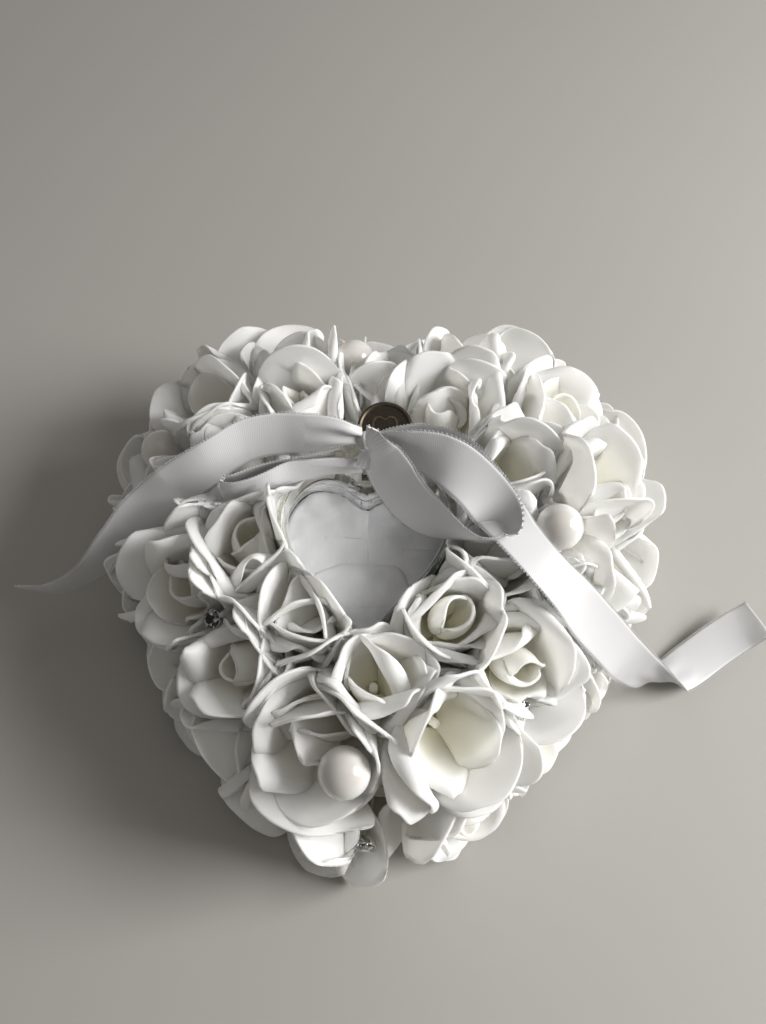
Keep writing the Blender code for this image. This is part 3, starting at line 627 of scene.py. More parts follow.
# each stop: mm from the hinge and the crown, the way the width points, and the share of the full width
ribbonStops = {
    "ribbon_tail_left": [
        ((-1.5, 4.6, -0.5), (0.0, 0.30, 0.95), 0.40),
        ((-4.5, 4.2, 0.4), (0.0, 0.25, 0.97), 0.62),
        ((-9.5, 4.0, 1.7), (0.0, 0.36, 0.93), 0.88),
        ((-16.0, 3.7, 2.2), (0.0, 0.42, 0.91), 1.0),
        ((-23.0, 3.5, 2.6), (0.0, 0.42, 0.91), 1.0),
        ((-31.3, 1.3, 2.5), (0.0, 0.42, 0.91), 1.0),
        ((-40.9, -4.4, 0.5), (0.08, 0.47, 0.88), 1.0),
        ((-50.4, -7.9, -5.0), (0.07, 0.47, 0.88), 1.0),
        ((-59.1, -11.6, -12.0), (0.02, 0.48, 0.87), 1.0),
        ((-67.8, -17.0, -20.0), (0.00, 0.29, 0.96), 1.0),
        ((-77.7, -22.4, -28.0), (0.02, -0.06, 1.00), 1.0),
        ((-88.1, -24.9, -33.5), (0.10, -0.22, 0.97), 1.0),
        ((-96.9, -23.9, -35.5), (0.14, -0.34, 0.94), 1.0),
    ],
    "ribbon_tail_right": [
        ((3.4, 4.6, -1.0), (0.0, 0.10, 0.99), 0.45),
        ((8.0, 4.2, 0.0), (0.0, 0.10, 0.99), 0.80),
        ((14.0, 3.6, 0.4), (0.10, 0.15, 0.98), 1.0),
        ((20.5, 1.6, 0.6), (0.25, 0.15, 0.95), 1.0),
        ((25.2, -4.5, 1.5), (0.50, 0.35, 0.78), 1.0),
        ((28.8, -12.0, 2.6), (0.70, 0.50, 0.48), 1.0),
        ((32.4, -19.4, 3.8), (0.72, 0.66, 0.10), 1.0),
        ((35.4, -25.0, 4.7), (0.68, 0.70, -0.18), 1.0),
        ((38.8, -29.8, 4.5), (0.66, 0.71, -0.25), 1.0),
        ((42.8, -34.4, 3.2), (0.70, 0.67, -0.25), 1.0),
        ((48.8, -39.4, -1.2), (0.75, 0.62, -0.24), 1.0),
        ((55.4, -43.2, -9.3), (0.79, 0.58, -0.20), 1.0),
        ((61.2, -45.5, -16.8), (0.80, 0.58, -0.15), 1.0),
        ((67.6, -47.0, -26.6), (0.83, 0.54, -0.13), 1.0),
        ((75.8, -46.6, -40.5), (0.92, 0.37, 0.10), 1.0),
        ((83.0, -47.2, -48.0), (0.84, -0.09, 0.50), 0.95),
        ((88.4, -44.6, -52.0), (0.72, -0.66, 0.20), 0.95),
        ((94.7, -40.7, -53.0), (0.34, -0.93, 0.02), 1.0),
        ((103.1, -35.1, -52.0), (0.12, -0.98, -0.09), 1.0),
        ((110.2, -30.8, -50.2), (-0.09, -0.98, -0.17), 1.0),
        ((115.5, -28.2, -47.7), (-0.32, -0.92, -0.21), 1.0),
    ],
    "bow_loop_right": [
        ((2.6, -1.2, 2.4), (0.0, -0.10, 0.99), 0.35),
        ((4.8, -3.6, 8.0), (-0.05, -0.14, 0.98), 0.80),
        ((8.6, -6.0, 11.6), (-0.10, -0.05, 0.99), 1.0),
        ((12.9, -7.7, 12.7), (0.03, 0.20, 0.97), 1.0),
        ((18.1, -9.7, 12.7), (0.22, 0.50, 0.83), 1.0),
        ((23.0, -12.7, 11.4), (0.42, 0.72, 0.55), 1.0),
        ((27.6, -16.5, 9.4), (0.54, 0.72, 0.42), 1.0),
        ((31.1, -20.2, 7.0), (0.58, 0.62, 0.52), 1.0),
        ((33.2, -23.4, 4.7), (0.48, 0.26, 0.82), 1.0),
        ((33.5, -25.4, 3.3), (0.36, -0.02, 0.92), 1.0),
        ((32.2, -26.7, 2.7), (0.24, -0.22, 0.94), 1.0),
        ((29.6, -27.3, 2.6), (0.14, -0.32, 0.93), 1.0),
        ((26.0, -27.0, 3.0), (0.16, -0.33, 0.92), 1.0),
        ((21.7, -25.8, 4.0), (0.31, -0.22, 0.92), 1.0),
        ((17.1, -23.8, 5.3), (0.47, 0.02, 0.88), 1.0),
        ((12.7, -20.8, 6.5), (0.60, 0.22, 0.77), 1.0),
        ((9.1, -16.8, 7.5), (0.67, 0.27, 0.69), 1.0),
        ((6.4, -12.5, 8.5), (0.69, 0.22, 0.68), 1.0),
        ((4.0, -9.0, 9.4), (0.64, 0.08, 0.76), 1.0),
        ((1.9, -6.6, 10.2), (0.46, -0.10, 0.86), 1.0),
        ((0.5, -4.6, 8.4), (0.18, -0.16, 0.94), 0.85),
        ((1.6, -2.4, 3.0), (0.05, -0.12, 0.98), 0.35),
    ],
    "bow_loop_left": [
        ((-0.9, -5.6, 1.0), (-0.02, 0.05, 1.0), 0.32),
        ((-4.0, -6.0, 1.6), (-0.02, 0.0, 1.0), 0.55),
        ((-9.0, -6.4, 2.0), (-0.04, -0.12, 0.99), 0.85),
        ((-14.0, -7.0, 2.1), (-0.05, -0.18, 0.98), 1.0),
        ((-19.0, -8.0, 2.1), (-0.02, -0.15, 0.99), 1.0),
        ((-24.2, -10.3, 1.8), (0.05, -0.12, 0.99), 1.0),
        ((-29.1, -12.0, 1.4), (0.11, -0.14, 0.98), 1.0),
        ((-33.2, -12.7, 1.0), (0.17, -0.17, 0.97), 1.0),
        ((-36.0, -12.1, 1.0), (0.22, -0.24, 0.94), 1.0),
        ((-36.2, -10.2, 1.4), (0.24, -0.26, 0.93), 1.0),
        ((-33.4, -9.6, 1.4), (0.21, -0.21, 0.96), 1.0),
        ((-26.6, -7.4, 1.6), (0.14, -0.20, 0.97), 1.0),
        ((-17.0, -5.0, 1.4), (0.10, -0.16, 0.98), 1.0),
        ((-8.0, -3.4, 1.0), (0.05, -0.05, 0.99), 0.75),
    ],
}


def nearHinge(offset):
    return np.array([hinge.x, hinge.y, crownLevel]) + np.array(offset)


def ribbonLine(stops, count=260):
    # evenly spaced centres, width directions, face normals and width shares, and the length
    centres = smoothCurve([nearHinge(np.array(s[0]) * mm) for s in stops], count)
    across = smoothCurve([np.array(s[1]) / np.linalg.norm(s[1]) for s in stops], count)
    shares = smoothCurve([[s[2]] for s in stops], count)[:, 0]
    steps = np.linalg.norm(np.diff(centres, axis=0), axis=1)
    walked = np.concatenate([[0], np.cumsum(steps)])
    wanted = np.linspace(0, walked[-1], count)
    centres = np.stack([np.interp(wanted, walked, centres[:, i]) for i in range(3)], axis=1)
    across = np.stack([np.interp(wanted, walked, across[:, i]) for i in range(3)], axis=1)
    shares = np.interp(wanted, walked, shares)
    along = np.gradient(centres, axis=0)
    along /= np.linalg.norm(along, axis=1)[:, None]
    sides = across - along * (across * along).sum(1)[:, None]
    sides /= np.linalg.norm(sides, axis=1)[:, None]
    return centres, sides, np.cross(along, sides), np.clip(shares, 0.2, 1.0), walked[-1]


ribbonLines = {name: ribbonLine(stops) for name, stops in ribbonStops.items()}


def edgeLoops(middles, outward, along, normals):
    # a row of tiny thread loops along one edge
    verts, faces = [], []
    around, wires = 9, 4
    for middle, out, ahead, normal in zip(middles, outward, along, normals):
        start = len(verts)
        for a in range(around):
            turn = 2 * math.pi * a / around
            spoke = out * math.cos(turn) + ahead * math.sin(turn)
            for w in range(wires):
                bend = 2 * math.pi * w / wires
                radius = bow["picotRadius"] + bow["picotWire"] * math.cos(bend)
                centre = middle + out * bow["picotRadius"] * 0.7
                verts.append(centre + spoke * radius + normal * bow["picotWire"] * math.sin(bend))
        for a in range(around):
            for w in range(wires):
                b, x = (a + 1) % around, (w + 1) % wires
                corners = (a * wires + w, a * wires + x, b * wires + x, b * wires + w)
                faces.append(tuple(start + q for q in corners))
    return np.array(verts), faces


def makeRibbon(name, title, rng):
    centres, sides, faces, shares, length = ribbonLines[name]
    count, columns = len(centres), 17
    width = bow["width"]
    along = np.linspace(0, 1, count)
    wave = np.zeros(count)
    for cycles in (2, 3, 5):
        wave += rng.uniform(-0.0003, 0.0003) * np.sin(2 * math.pi * cycles * along + rng.uniform(0, 6.28))
    grid = np.zeros((count, columns, 3))
    uv = np.zeros((count, columns, 2))
    for j, u in enumerate(np.linspace(-1, 1, columns)):
        crease = bow["pleat"] * np.cos(u * math.pi * 2.0) * np.sqrt(1 - shares)
        cup = (u * u - 0.4) * 0.0004 + wave * u
        grid[:, j] = centres + sides * (u * width / 2 * shares)[:, None] + faces * (cup + crease)[:, None]
        uv[:, j] = np.stack([np.full(count, (u + 1) / 2 * width), along * length], axis=1)
    normals = gridNormals(grid)
    verts, quads, source = thickSheet(grid, bow["thickness"], normals)
    pieces, coords, total = [verts], [uv.reshape(-1, 2)[source]], len(verts)
    allFaces = [tuple(int(i) for i in q) for q in quads]
    loops = int(length / bow["picotPitch"])
    at = (np.arange(loops) + 0.5) / loops * (count - 1)
    low = at.astype(int)
    for edge, outward in ((0, -1), (columns - 1, 1)):
        line = grid[:, edge]
        middles = line[low] + (line[np.minimum(low + 1, count - 1)] - line[low]) * (at - low)[:, None]
        flat, ahead = normals[low, edge], np.cross(sides[low], normals[low, edge])
        loopVerts, loopFaces = edgeLoops(middles, sides[low] * outward, ahead, flat)
        pieces.append(loopVerts)
        coords.append(np.zeros((len(loopVerts), 2)))
        allFaces += [tuple(total + q for q in f) for f in loopFaces]
        total += len(loopVerts)
    points, coords = np.concatenate(pieces), np.concatenate(coords)
    piece = finishMesh(title, points, allFaces, [ribbedSatin], "body", uv=coords)
    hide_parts(name)
    return piece, length


knotShape = {
    "offset": (0.0020, 0.0042, -0.0022),
    "half": (0.0046, 0.0027, 0.0038),
    "tieAside": 0.0036,
    "tieRadius": 0.0004,
}


def makeKnot():
    knotLow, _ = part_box("bow_knot")
    middle = Vector(nearHinge(knotShape["offset"]))
    sizes = knotShape["half"]
    rows, columns = 40, 72
    verts = []
    for r in range(rows):
        tilt = math.pi * (r + 0.5) / rows - math.pi / 2
        for c in range(columns):
            turn = 2 * math.pi * c / columns
            pleat = 1 + 0.05 * math.sin(9 * tilt + 1.3 * math.sin(turn))
            pleat += 0.03 * math.sin(3 * turn + 4 * tilt)
            full = math.cos(tilt) ** 0.55 * pleat
            spread = Vector((math.sin(tilt), math.cos(turn) * full, math.sin(turn) * full))
            verts.append(tuple(middle + spread * Vector(sizes)))
    faces = []
    for r in range(rows - 1):
        for c in range(columns):
            d = (c + 1) % columns
            here, above = r * columns, (r + 1) * columns
            faces.append((here + c, here + d, above + d, above + c))
    faces.append(tuple(reversed(range(columns))))
    faces.append(tuple((rows - 1) * columns + c for c in range(columns)))
    uv = [((v[0] - middle.x), (math.atan2(v[2] - middle.z, v[1] - middle.y)) * 0.004) for v in verts]
    knot = finishMesh("bowKnotWrap", verts, [f[::-1] for f in faces], [ribbedSatin], "body", uv=uv)
    tie = Pile()
    foot = Vector((middle.x - knotShape["tieAside"], middle.y, knotLow.z))
    rise, thick = middle.z - foot.z, knotShape["tieRadius"]
    tie.add(*lathe([(0.0, rise), (thick, rise), (thick, 0.0), (0.0, 0.0)], 10, placeOn(foot, up)), shell=1.0)
    wire = tie.make("bowTieWire", [wireSteel], "body")
    hangOn(wire, knot)
    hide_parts("bow_knot")


ribbonRng = random.Random(11)
leftTail, leftLength = makeRibbon("ribbon_tail_left", "ribbonTailLeft", ribbonRng)
rightTail, rightLength = makeRibbon("ribbon_tail_right", "ribbonTailRight", ribbonRng)
rightLoop, rightLoopLength = makeRibbon("bow_loop_right", "bowLoopRight", ribbonRng)
leftLoop, leftLoopLength = makeRibbon("bow_loop_left", "bowLoopLeft", ribbonRng)
for piece in (rightLoop, leftLoop):
    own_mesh(piece)
makeKnot()
print("bow made")

buttonShape = {
    "offset": (0.0048, 0.0101, -0.0043),
    "tilt": 14.0,
    "radius": 0.0075,
    "thick": 0.0016,
    "rim": 0.0004,
}
buttonTilt = math.radians(buttonShape["tilt"])
buttonAxis = Vector((0, -math.sin(buttonTilt), math.cos(buttonTilt)))
buttonPlace = Vector(nearHinge(buttonShape["offset"]))


def makeButton():
    radius, rim, thick = buttonShape["radius"], buttonShape["rim"], buttonShape["thick"]
    low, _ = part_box("metal_button")
    shank = (buttonPlace.z - low.z) / buttonAxis.z
    profile = [(0.0, 0.00012), (radius * 0.4, 0.00008), (radius * 0.82, 0.0)]
    profile += [(radius * 0.86, 0.00005), (radius * 0.89, rim * 0.9), (radius * 0.93, rim * 1.1)]
    profile += [(radius * 0.97, rim * 0.9), (radius, rim * 0.3), (radius, rim - thick + 0.0003)]
    profile += [(radius - 0.0003, rim - thick), (0.0011, rim - thick)]
    profile += [(0.001, rim - thick - 0.0004), (0.001, -shank + 0.0006), (0.0, -shank)]
    place = placeOn(buttonPlace, buttonAxis)
    pile = Pile()
    verts, faces = lathe(profile, 96, place)
    heights = np.array([(place.inverted() @ Vector(v)).z for v in verts])
    radii = np.array([(place.inverted() @ Vector(v)).xy.length for v in verts])
    raised = np.where((radii > radius * 0.88) & (heights > rim * 0.5), 0.32, 0.05)
    pile.add(verts, faces, raised=raised)
    # raised heart emblem
    outline = heartOutline(radius * 0.95, radius * 0.95, 0.60, 0.68, 64, (0, -0.0001))
    inner = heartOutline(radius * 0.78, radius * 0.78, 0.60, 0.68, 64, (0, -0.0001))
    foot, crest = 0.00002, 0.00026
    rings = []
    for line, level in ((outline, foot), (outline * 0.98, crest), (inner * 1.02, crest), (inner, foot)):
        rings.append([place @ Vector((p[0], p[1], level)) for p in line])
    verts, faces = loftRings(rings + [rings[0]], False, False)
    pile.add(verts, faces, raised=0.45)
    button = pile.make("metalButton", [blackBronze], "body", smooth=False)
    shadeCrisp(button, 45)
    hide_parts("metal_button")


makeButton()
print("button made")

pinShape = {
    "pearlRadius": 0.0059,
    "stoneRadius": 0.0026,
    "needle": 0.0004,
    # how near a rose has to be to make room, and the gap and the ease that it leaves
    "pearlRoom": {"near": 0.035, "gap": 0.0006, "ease": 0.0025},
    "stoneRoom": {"near": 0.03, "gap": 0.0005, "ease": 0.0015},
}
pearlNames = [f"pearl_pin_{i}" for i in range(1, 5)]
stoneNames = [f"rhinestone_pin_{i}" for i in range(1, 7)]
pinHeads = []


def makePearl(name, index):
    end, axis, reach = nodeAxis(name)
    radius = pinShape["pearlRadius"]
    centre = end + axis * (reach - radius)
    clear = np.array((Vector(axis) + Vector((0, -0.25, 0.75))).normalized())
    pinHeads.append({"at": centre, "clear": clear, "radius": radius, **pinShape["pearlRoom"]})
    profile = [(radius * math.sin(t), radius * math.cos(t)) for t in np.linspace(0, math.pi, 49)]
    profile[0] = (0.0, profile[0][1])
    profile[-1] = (0.0, profile[-1][1])
    pile = Pile()
    pile.add(*lathe(profile, 72, placeOn(centre, axis)), shell=1.0)
    pearl = pile.make(f"pearl{index}", [pearlLacquer], "body")
    pile = Pile()
    thick, tip = pinShape["needle"], radius - reach
    needle = [(thick, -radius * 0.9), (thick, tip + 0.001), (0.0, tip)]
    pile.add(*lathe([(0.0, -radius * 0.9)] + needle, 12, placeOn(centre, axis)), shell=1.0)
    pin = pile.make(f"pearlNeedle{index}", [wireSteel], "body")
    hangOn(pin, pearl)
    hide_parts(name)


def makeStone(name, index):
    end, axis, reach = nodeAxis(name)
    radius = pinShape["stoneRadius"] * 0.88
    top = end + axis * reach
    middle = top - axis * 0.0012
    room = {"radius": pinShape["stoneRadius"], **pinShape["stoneRoom"]}
    pinHeads.append({"at": middle, "clear": np.array(axis), **room})
    rng = random.Random(40 + index)
    place = placeOn(middle, axis, rng.uniform(0, 1))
    verts, faces, facet = [], [], []

    def face(points):
        start = len(verts)
        verts.extend(place @ Vector(p) for p in points)
        # a random painted glint value for this facet
        facet.extend([rng.choice((0.0, 0.08, 0.25, 0.5, 0.8, 1.0))] * len(points))
        faces.append(tuple(range(start, start + len(points))))

    def at(r, turn, z):
        return (r * math.cos(turn), r * math.sin(turn), z)

    table, crown, girdle = radius * 0.55, 0.0011, 0.0003
    step = 2 * math.pi / 8
    face([at(table, k * step, crown) for k in range(8)])
    for k in range(8):
        a, b, m = k * step, (k + 1) * step, (k + 0.5) * step
        mid = at(radius * 0.80, m, (crown + girdle) * 0.56)
        face([at(table, a, crown), mid, at(table, b, crown)])
        before = at(radius * 0.80, a - step / 2, (crown + girdle) * 0.56)
        face([at(table, a, crown), before, at(radius, a, girdle), mid])
        face([mid, at(radius, a, girdle), at(radius, m, girdle)])
        face([mid, at(radius, m, girdle), at(radius, b, girdle)])
        face([at(radius, a, girdle), (0, 0, -0.0014), at(radius, m, girdle)])
        face([at(radius, m, girdle), (0, 0, -0.0014), at(radius, b, girdle)])
    facets = {"facet": facet}
    stone = finishMesh(f"rhinestone{index}", verts, faces, [foiledStone], "body", False, facets)
    cup = Pile()
    wide = pinShape["stoneRadius"]
    profile = [(radius * 0.96, 0.00015), (wide * 0.98, 0.00010), (wide, -0.0004), (wide * 0.86, -0.0012)]
    thick = pinShape["needle"]
    profile += [(wide * 0.45, -0.0024), (thick, -0.0030), (thick, 0.0022 - reach), (0.0, 0.0012 - reach)]
    cup.add(*lathe([(0.0, -0.0006), (radius * 0.7, -0.0005)] + profile, 32, place), shell=1.0)
    # how far out, how high and how thick a claw is along its length
    claw = [(0.98, -0.0006, 0.00034), (1.0, 0.0002, 0.00032), (0.93, 0.00062, 0.00028)]
    claw.append((0.76, 0.00082, 0.0002))
    around = np.linspace(0, 2 * math.pi, 7)[:-1]
    for k in range(6):
        turn = 2 * math.pi * (k + 0.3) / 6
        rings = []
        for share, z, w in claw:
            centre = Vector((math.cos(turn), math.sin(turn), 0)) * wide * share + Vector((0, 0, z))
            side = Vector((-math.sin(turn), math.cos(turn), 0)) * w
            out = Vector((math.cos(turn), math.sin(turn), 0.6)).normalized() * w * 0.7
            rings.append([place @ (centre + side * math.cos(t) + out * math.sin(t)) for t in around])
        cup.add(*loftRings(rings), shell=1.0)
    setting = cup.make(f"clawSetting{index}", [clawSilver], "body")
    hangOn(setting, stone)
    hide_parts(name)


for i, name in enumerate(pearlNames, 1):
    makePearl(name, i)
for i, name in enumerate(stoneNames, 1):
    makeStone(name, i)
hingePin = frame["nodes"]["hinge_pin"].data
hingePin.materials.clear()
hingePin.materials.append(wireSteel)
print("pins made")

leafShapes = {
    # place from the middle of the box, half sizes, turn, crown above the tray,
    # and the side of the cleft that it keeps to
    "left": {"at": (-0.0112, 0.0070), "half": (0.0185, 0.0205), "turn": 12, "crown": 0.0098, "keep": -1},
    "right": {"at": (0.0098, 0.0030), "half": (0.0180, 0.0240), "turn": -8, "crown": 0.0092, "keep": 1},
    "front": {"at": (-0.0030, -0.0125), "half": (0.0165, 0.0125), "turn": 6, "crown": 0.0106, "keep": 0},
}
leafCloth = {"thickness": 0.00022, "rows": 34, "columns": 144, "wallGap": 0.0003, "lap": 0.0009}


def outlineDistance(points, outline):
    # signed distance outside a closed outline, and the way out
    nxt = np.roll(outline, -1, axis=0)
    edge = nxt - outline
    length2 = (edge**2).sum(1)
    best = np.full(len(points), 1e9)
    way = np.zeros((len(points), 2))
    inside = np.zeros(len(points), bool)
    for k in range(len(outline)):
        t = np.clip(((points - outline[k]) @ edge[k]) / length2[k], 0, 1)
        near = outline[k] + t[:, None] * edge[k]
        gap = points - near
        distance = np.linalg.norm(gap, axis=1)
        closer = distance < best
        best[closer] = distance[closer]
        way[closer] = gap[closer]
        crosses = (outline[k][1] > points[:, 1]) != (nxt[k][1] > points[:, 1])
        span = nxt[k][1] - outline[k][1]
        if abs(span) > 1e-12:
            at = outline[k][0] + (points[:, 1] - outline[k][1]) * edge[k][0] / span
            inside ^= crosses & (points[:, 0] < at)
    sign = np.where(inside, -1.0, 1.0)
    way = way / np.maximum(best, 1e-9)[:, None] * sign[:, None]
    return best * sign, way


def makeLeaf(side, shape, seed):
    rng = random.Random(seed)
    rows, columns = leafCloth["rows"], leafCloth["columns"]
    floor = boxBottom + boxShape["wall"] + 0.0005
    turn = math.radians(shape["turn"])
    ripples = []
    for _ in range(6):
        ways = rng.uniform(400, 1100), rng.uniform(0, 6.28), rng.uniform(0, 6.28)
        ripples.append((*ways, rng.uniform(0.00004, 0.00014)))
    share = np.linspace(0, 1, rows)[:, None] ** 0.8
    angle = np.linspace(0, 2 * math.pi, columns)
    lobe = 1 + 0.04 * np.sin(3 * angle + seed) + 0.025 * np.sin(5 * angle + 2 * seed)
    lobe += 0.012 * np.sin(11 * angle)
    away = np.stack([np.cos(angle), np.sin(angle)], axis=1)
    wide, deep = shape["half"]
    oval = lobe / np.hypot(np.cos(angle - turn) / wide, np.sin(angle - turn) / deep)
    # how far each ray runs before it meets the wall of the box or the next leaf
    outline = boxHeart(boxShape["wall"] + leafCloth["wallGap"], 120)
    middle = np.array([boxCentre[0] + shape["at"][0], boxCentre[1] + shape["at"][1]])
    steps = np.linspace(0.0003, 0.0300, 100)
    spots = middle + away[:, None, :] * steps[None, :, None]
    distance, _ = outlineDistance(spots.reshape(-1, 2), outline)
    blocked = distance.reshape(len(angle), -1) > 0
    if shape["keep"]:
        past = shape["keep"] * (spots[..., 0] - boxCentre[0])
        blocked |= past < -leafCloth["lap"]
    reach = steps[np.where(blocked.any(1), blocked.argmax(1), len(steps) - 1)]
    reach = (oval**-16 + reach**-16) ** -0.0625
    reach = np.minimum((np.roll(reach, 1) + 2 * reach + np.roll(reach, -1)) / 4, reach)
    across = shape["at"][0] + share * (reach * away[:, 0])[None, :]
    back = shape["at"][1] + share * (reach * away[:, 1])[None, :]
    ripple = sum(h * np.sin(f * (across * math.cos(a) + back * math.sin(a)) + p) for f, a, p, h in ripples)
    tuck = 0.0007 * share**3 + 0.0009 * np.clip((share - 0.92) / 0.08, 0, 1) ** 2
    height = floor + shape["crown"] - tuck + ripple * (0.5 + share)
    grid = np.stack([boxCentre[0] + across, boxCentre[1] + back, height], axis=-1)
    normals = gridNormals(grid)
    normals[0] = normals[1].mean(0)
    normals[:, -1] = normals[:, 0]
    verts, quads, _ = thickSheet(grid, leafCloth["thickness"], normals)
    leaf = finishMesh("clothPetal" + side.title(), verts, quads, [petalCloth], "body")
    bm = bmesh.new()
    bm.from_mesh(leaf.data)
    bmesh.ops.remove_doubles(bm, verts=bm.verts, dist=0.00003)
    bmesh.ops.recalc_face_normals(bm, faces=bm.faces)
    bm.to_mesh(leaf.data)
    bm.free()
    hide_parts("fabric_petal_" + side)


for seed, (side, shape) in enumerate(leafShapes.items(), 3):
    makeLeaf(side, shape, seed)
print("cloth petals made")

roseShape = {
    "foam": 0.72 * mm,
    "stemDepth": 0.0060,
    "stemRise": 0.0060,
    "foot": 0.0022,
    "stemRadius": 0.0011,
    "middle": 0.0095,
    "columns": 33,
    "rows": 25,
    "neighbourReach": 0.045,
    "lift": 0.55,
    "lap": 0.0020,
    "lapOutside": 0.0050,
    "growth": {"inner": 1.0, "middle": 1.05, "outer": 1.12},
    "leans": (0.0, 0.14, -0.14, 0.28, 0.42, 0.56, 0.70),
    "enough": 0.0012,
    "floorGap": 0.0008,
    "outside": (0.0140, 0.0235),  # how far past the foam petals start to be held in, and the most
    "boxGap": 0.0010,
    "boxEase": 0.0030,
    "boxLift": (0.45, 0.35),  # rise for each mm that a petal is pushed off the box
    "buttonNear": 0.035,
    "tilt": 0.16,
    "budded": 0.65,
}
# profiles are (radius, height) in mm above the foam; widths, curls and rolls in mm
petalLayers = [
    {
        "name": "bud", "count": 2, "profile": [(1.2, 2), (4.9, 6), (5.6, 12.5), (2.8, 18.6)],
        "width": 18.0, "cup": 1.0, "curl": (1.0, 3.0), "roll": (1.2, 1.8), "flare": 0.0,
    },
    {
        "name": "inner", "count": 3, "profile": [(1.6, 2), (7.8, 5), (8.6, 12.0), (7.4, 19.0)],
        "width": 19.0, "cup": 1.15, "curl": (2.0, 5.0), "roll": (1.2, 2.0), "flare": 1.0,
    },
    {
        "name": "mid", "count": 3, "profile": [(2.2, 1.5), (10.8, 3.0), (11.6, 11.0), (13.2, 18.6)],
        "width": 24.5, "cup": 1.35, "curl": (2.5, 6.5), "roll": (1.3, 2.3), "flare": 2.2,
    },
    {
        "name": "outer", "count": 3, "profile": [(2.4, 1.0), (12.5, 0.5), (15.5, 7.5), (19.0, 14.4)],
        "width": 26.0, "cup": 1.5, "curl": (2.5, 6.5), "roll": (1.3, 2.4), "flare": 2.4,
    },
    {
        "name": "skirt", "count": 3, "profile": [(2.4, 0.6), (12.0, -1.0), (17.0, 3.0), (21.5, 8.4)],
        "width": 25.0, "cup": 1.7, "curl": (2.0, 5.5), "roll": (1.3, 2.4), "flare": 2.0,
    },
]


petalShape = {
    "foot": 0.22,  # share of the width at the foot
    "close": 0.20,  # share of the width lost again at the tip
    "slant": (26, 54),  # degrees, of the line about which a shoulder rolls
    "flatter": 0.35,  # share of the shoulders that roll less, and how much less
    "mostRoll": 3.6,
    "lapped": 0.045,  # one side stands out, so that petals lap like tiles
    "leastCup": 2.2,
}


def petalPoints(layer, rng, turn, size):
    # one petal about the rose's own axis, as a grid in metres
    rows, columns = roseShape["rows"], roseShape["columns"]
    stretch = rng.uniform(0.93, 1.07)
    controls = [(r * size, z * (1 if k < 2 else stretch)) for k, (r, z) in enumerate(layer["profile"])]
    fine = bezier(controls, np.linspace(0, 1, 160))
    steps = np.linalg.norm(np.diff(fine, axis=0), axis=1)
    walked = np.concatenate([[0], np.cumsum(steps)])
    length = walked[-1] * rng.uniform(0.95, 1.06)
    half = layer["width"] / 2 * size * rng.uniform(0.88, 1.10)
    t = np.linspace(-1, 1, columns)[None, :]
    u = 0.35 * t + 0.65 * np.sin(t * math.pi / 2)
    v = 1 - (1 - np.linspace(0, 1, rows)[:, None]) ** 1.3
    foot = petalShape["foot"]
    swell = foot + (1 - foot) * np.sin(np.clip(v * 1.35, 0, 1) * math.pi / 2) ** 1.1
    close = 1 - petalShape["close"] * np.clip((v - 0.70) / 0.30, 0, 1) ** 2.4
    across = u * half * swell * close
    point = rng.uniform(0.0, 1.0)
    along = length * v * (1 - 0.24 * np.abs(u) ** 2.8 * v) + point * np.exp(-((u / 0.25) ** 2)) * v**5
    out = np.zeros_like(across)
    # both shoulders roll outwards about slanting lines, which leaves a pointed tip
    for side in (-1, 1):
        slant = math.radians(rng.uniform(*petalShape["slant"]))
        flatter = petalShape["flatter"]
        depth = rng.uniform(*layer["curl"]) * size * (flatter if rng.random() < flatter else 1.0)
        radius = rng.uniform(*layer["roll"])
        lean = side * across * math.cos(slant) + along * math.sin(slant)
        past = np.maximum(lean - (lean.max() - depth), 0)
        angle = np.minimum(past / radius, petalShape["mostRoll"])
        moved = radius * np.sin(angle) - past
        across = across + side * moved * math.cos(slant)
        along = along + moved * math.sin(slant)
        out = out + radius * (1 - np.cos(angle))
    # the lip itself
    lip = np.clip((along / length - 0.74) / 0.26, 0, 1.2)
    out = out + layer["flare"] * lip**2 * (1 - 0.3 * u**2)
    wobble = rng.uniform(0, 6.28)
    out = out + 0.35 * np.sin(2.2 * u + wobble) * v**2 + 0.12 * np.sin(5 * u + 3 * v + wobble) * v**2
    # laid along the profile and wrapped round the axis
    place = np.clip(along, 0, walked[-1])
    beyond = along - place
    base = np.stack([np.interp(place, walked, fine[:, i]) for i in (0, 1)], axis=-1)
    tangentFine = np.gradient(fine, axis=0)
    tangentFine /= np.linalg.norm(tangentFine, axis=1)[:, None]
    tangent = np.stack([np.interp(place, walked, tangentFine[:, i]) for i in (0, 1)], axis=-1)
    base = base + tangent * beyond[..., None]
    normal = np.stack([tangent[..., 1], -tangent[..., 0]], axis=-1)
    cup = np.maximum(base[..., 0] * layer["cup"], petalShape["leastCup"])
    bend = across / cup
    lapped = petalShape["lapped"] * across
    radial = base[..., 0] - cup * (1 - np.cos(bend)) + lapped + out * normal[..., 0] * np.cos(bend)
    sideways = cup * np.sin(bend) + out * normal[..., 0] * np.sin(bend)
    height = base[..., 1] + out * normal[..., 1]
    x = radial * math.cos(turn) - sideways * math.sin(turn)
    y = radial * math.sin(turn) + sideways * math.cos(turn)
    # reach is low at a petal's foot, where the material paints warm crevice shade
    reach = np.clip(0.15 + 0.85 * v + 0 * u, 0, 1)
    return np.stack([x, y, height], axis=-1) * mm, reach


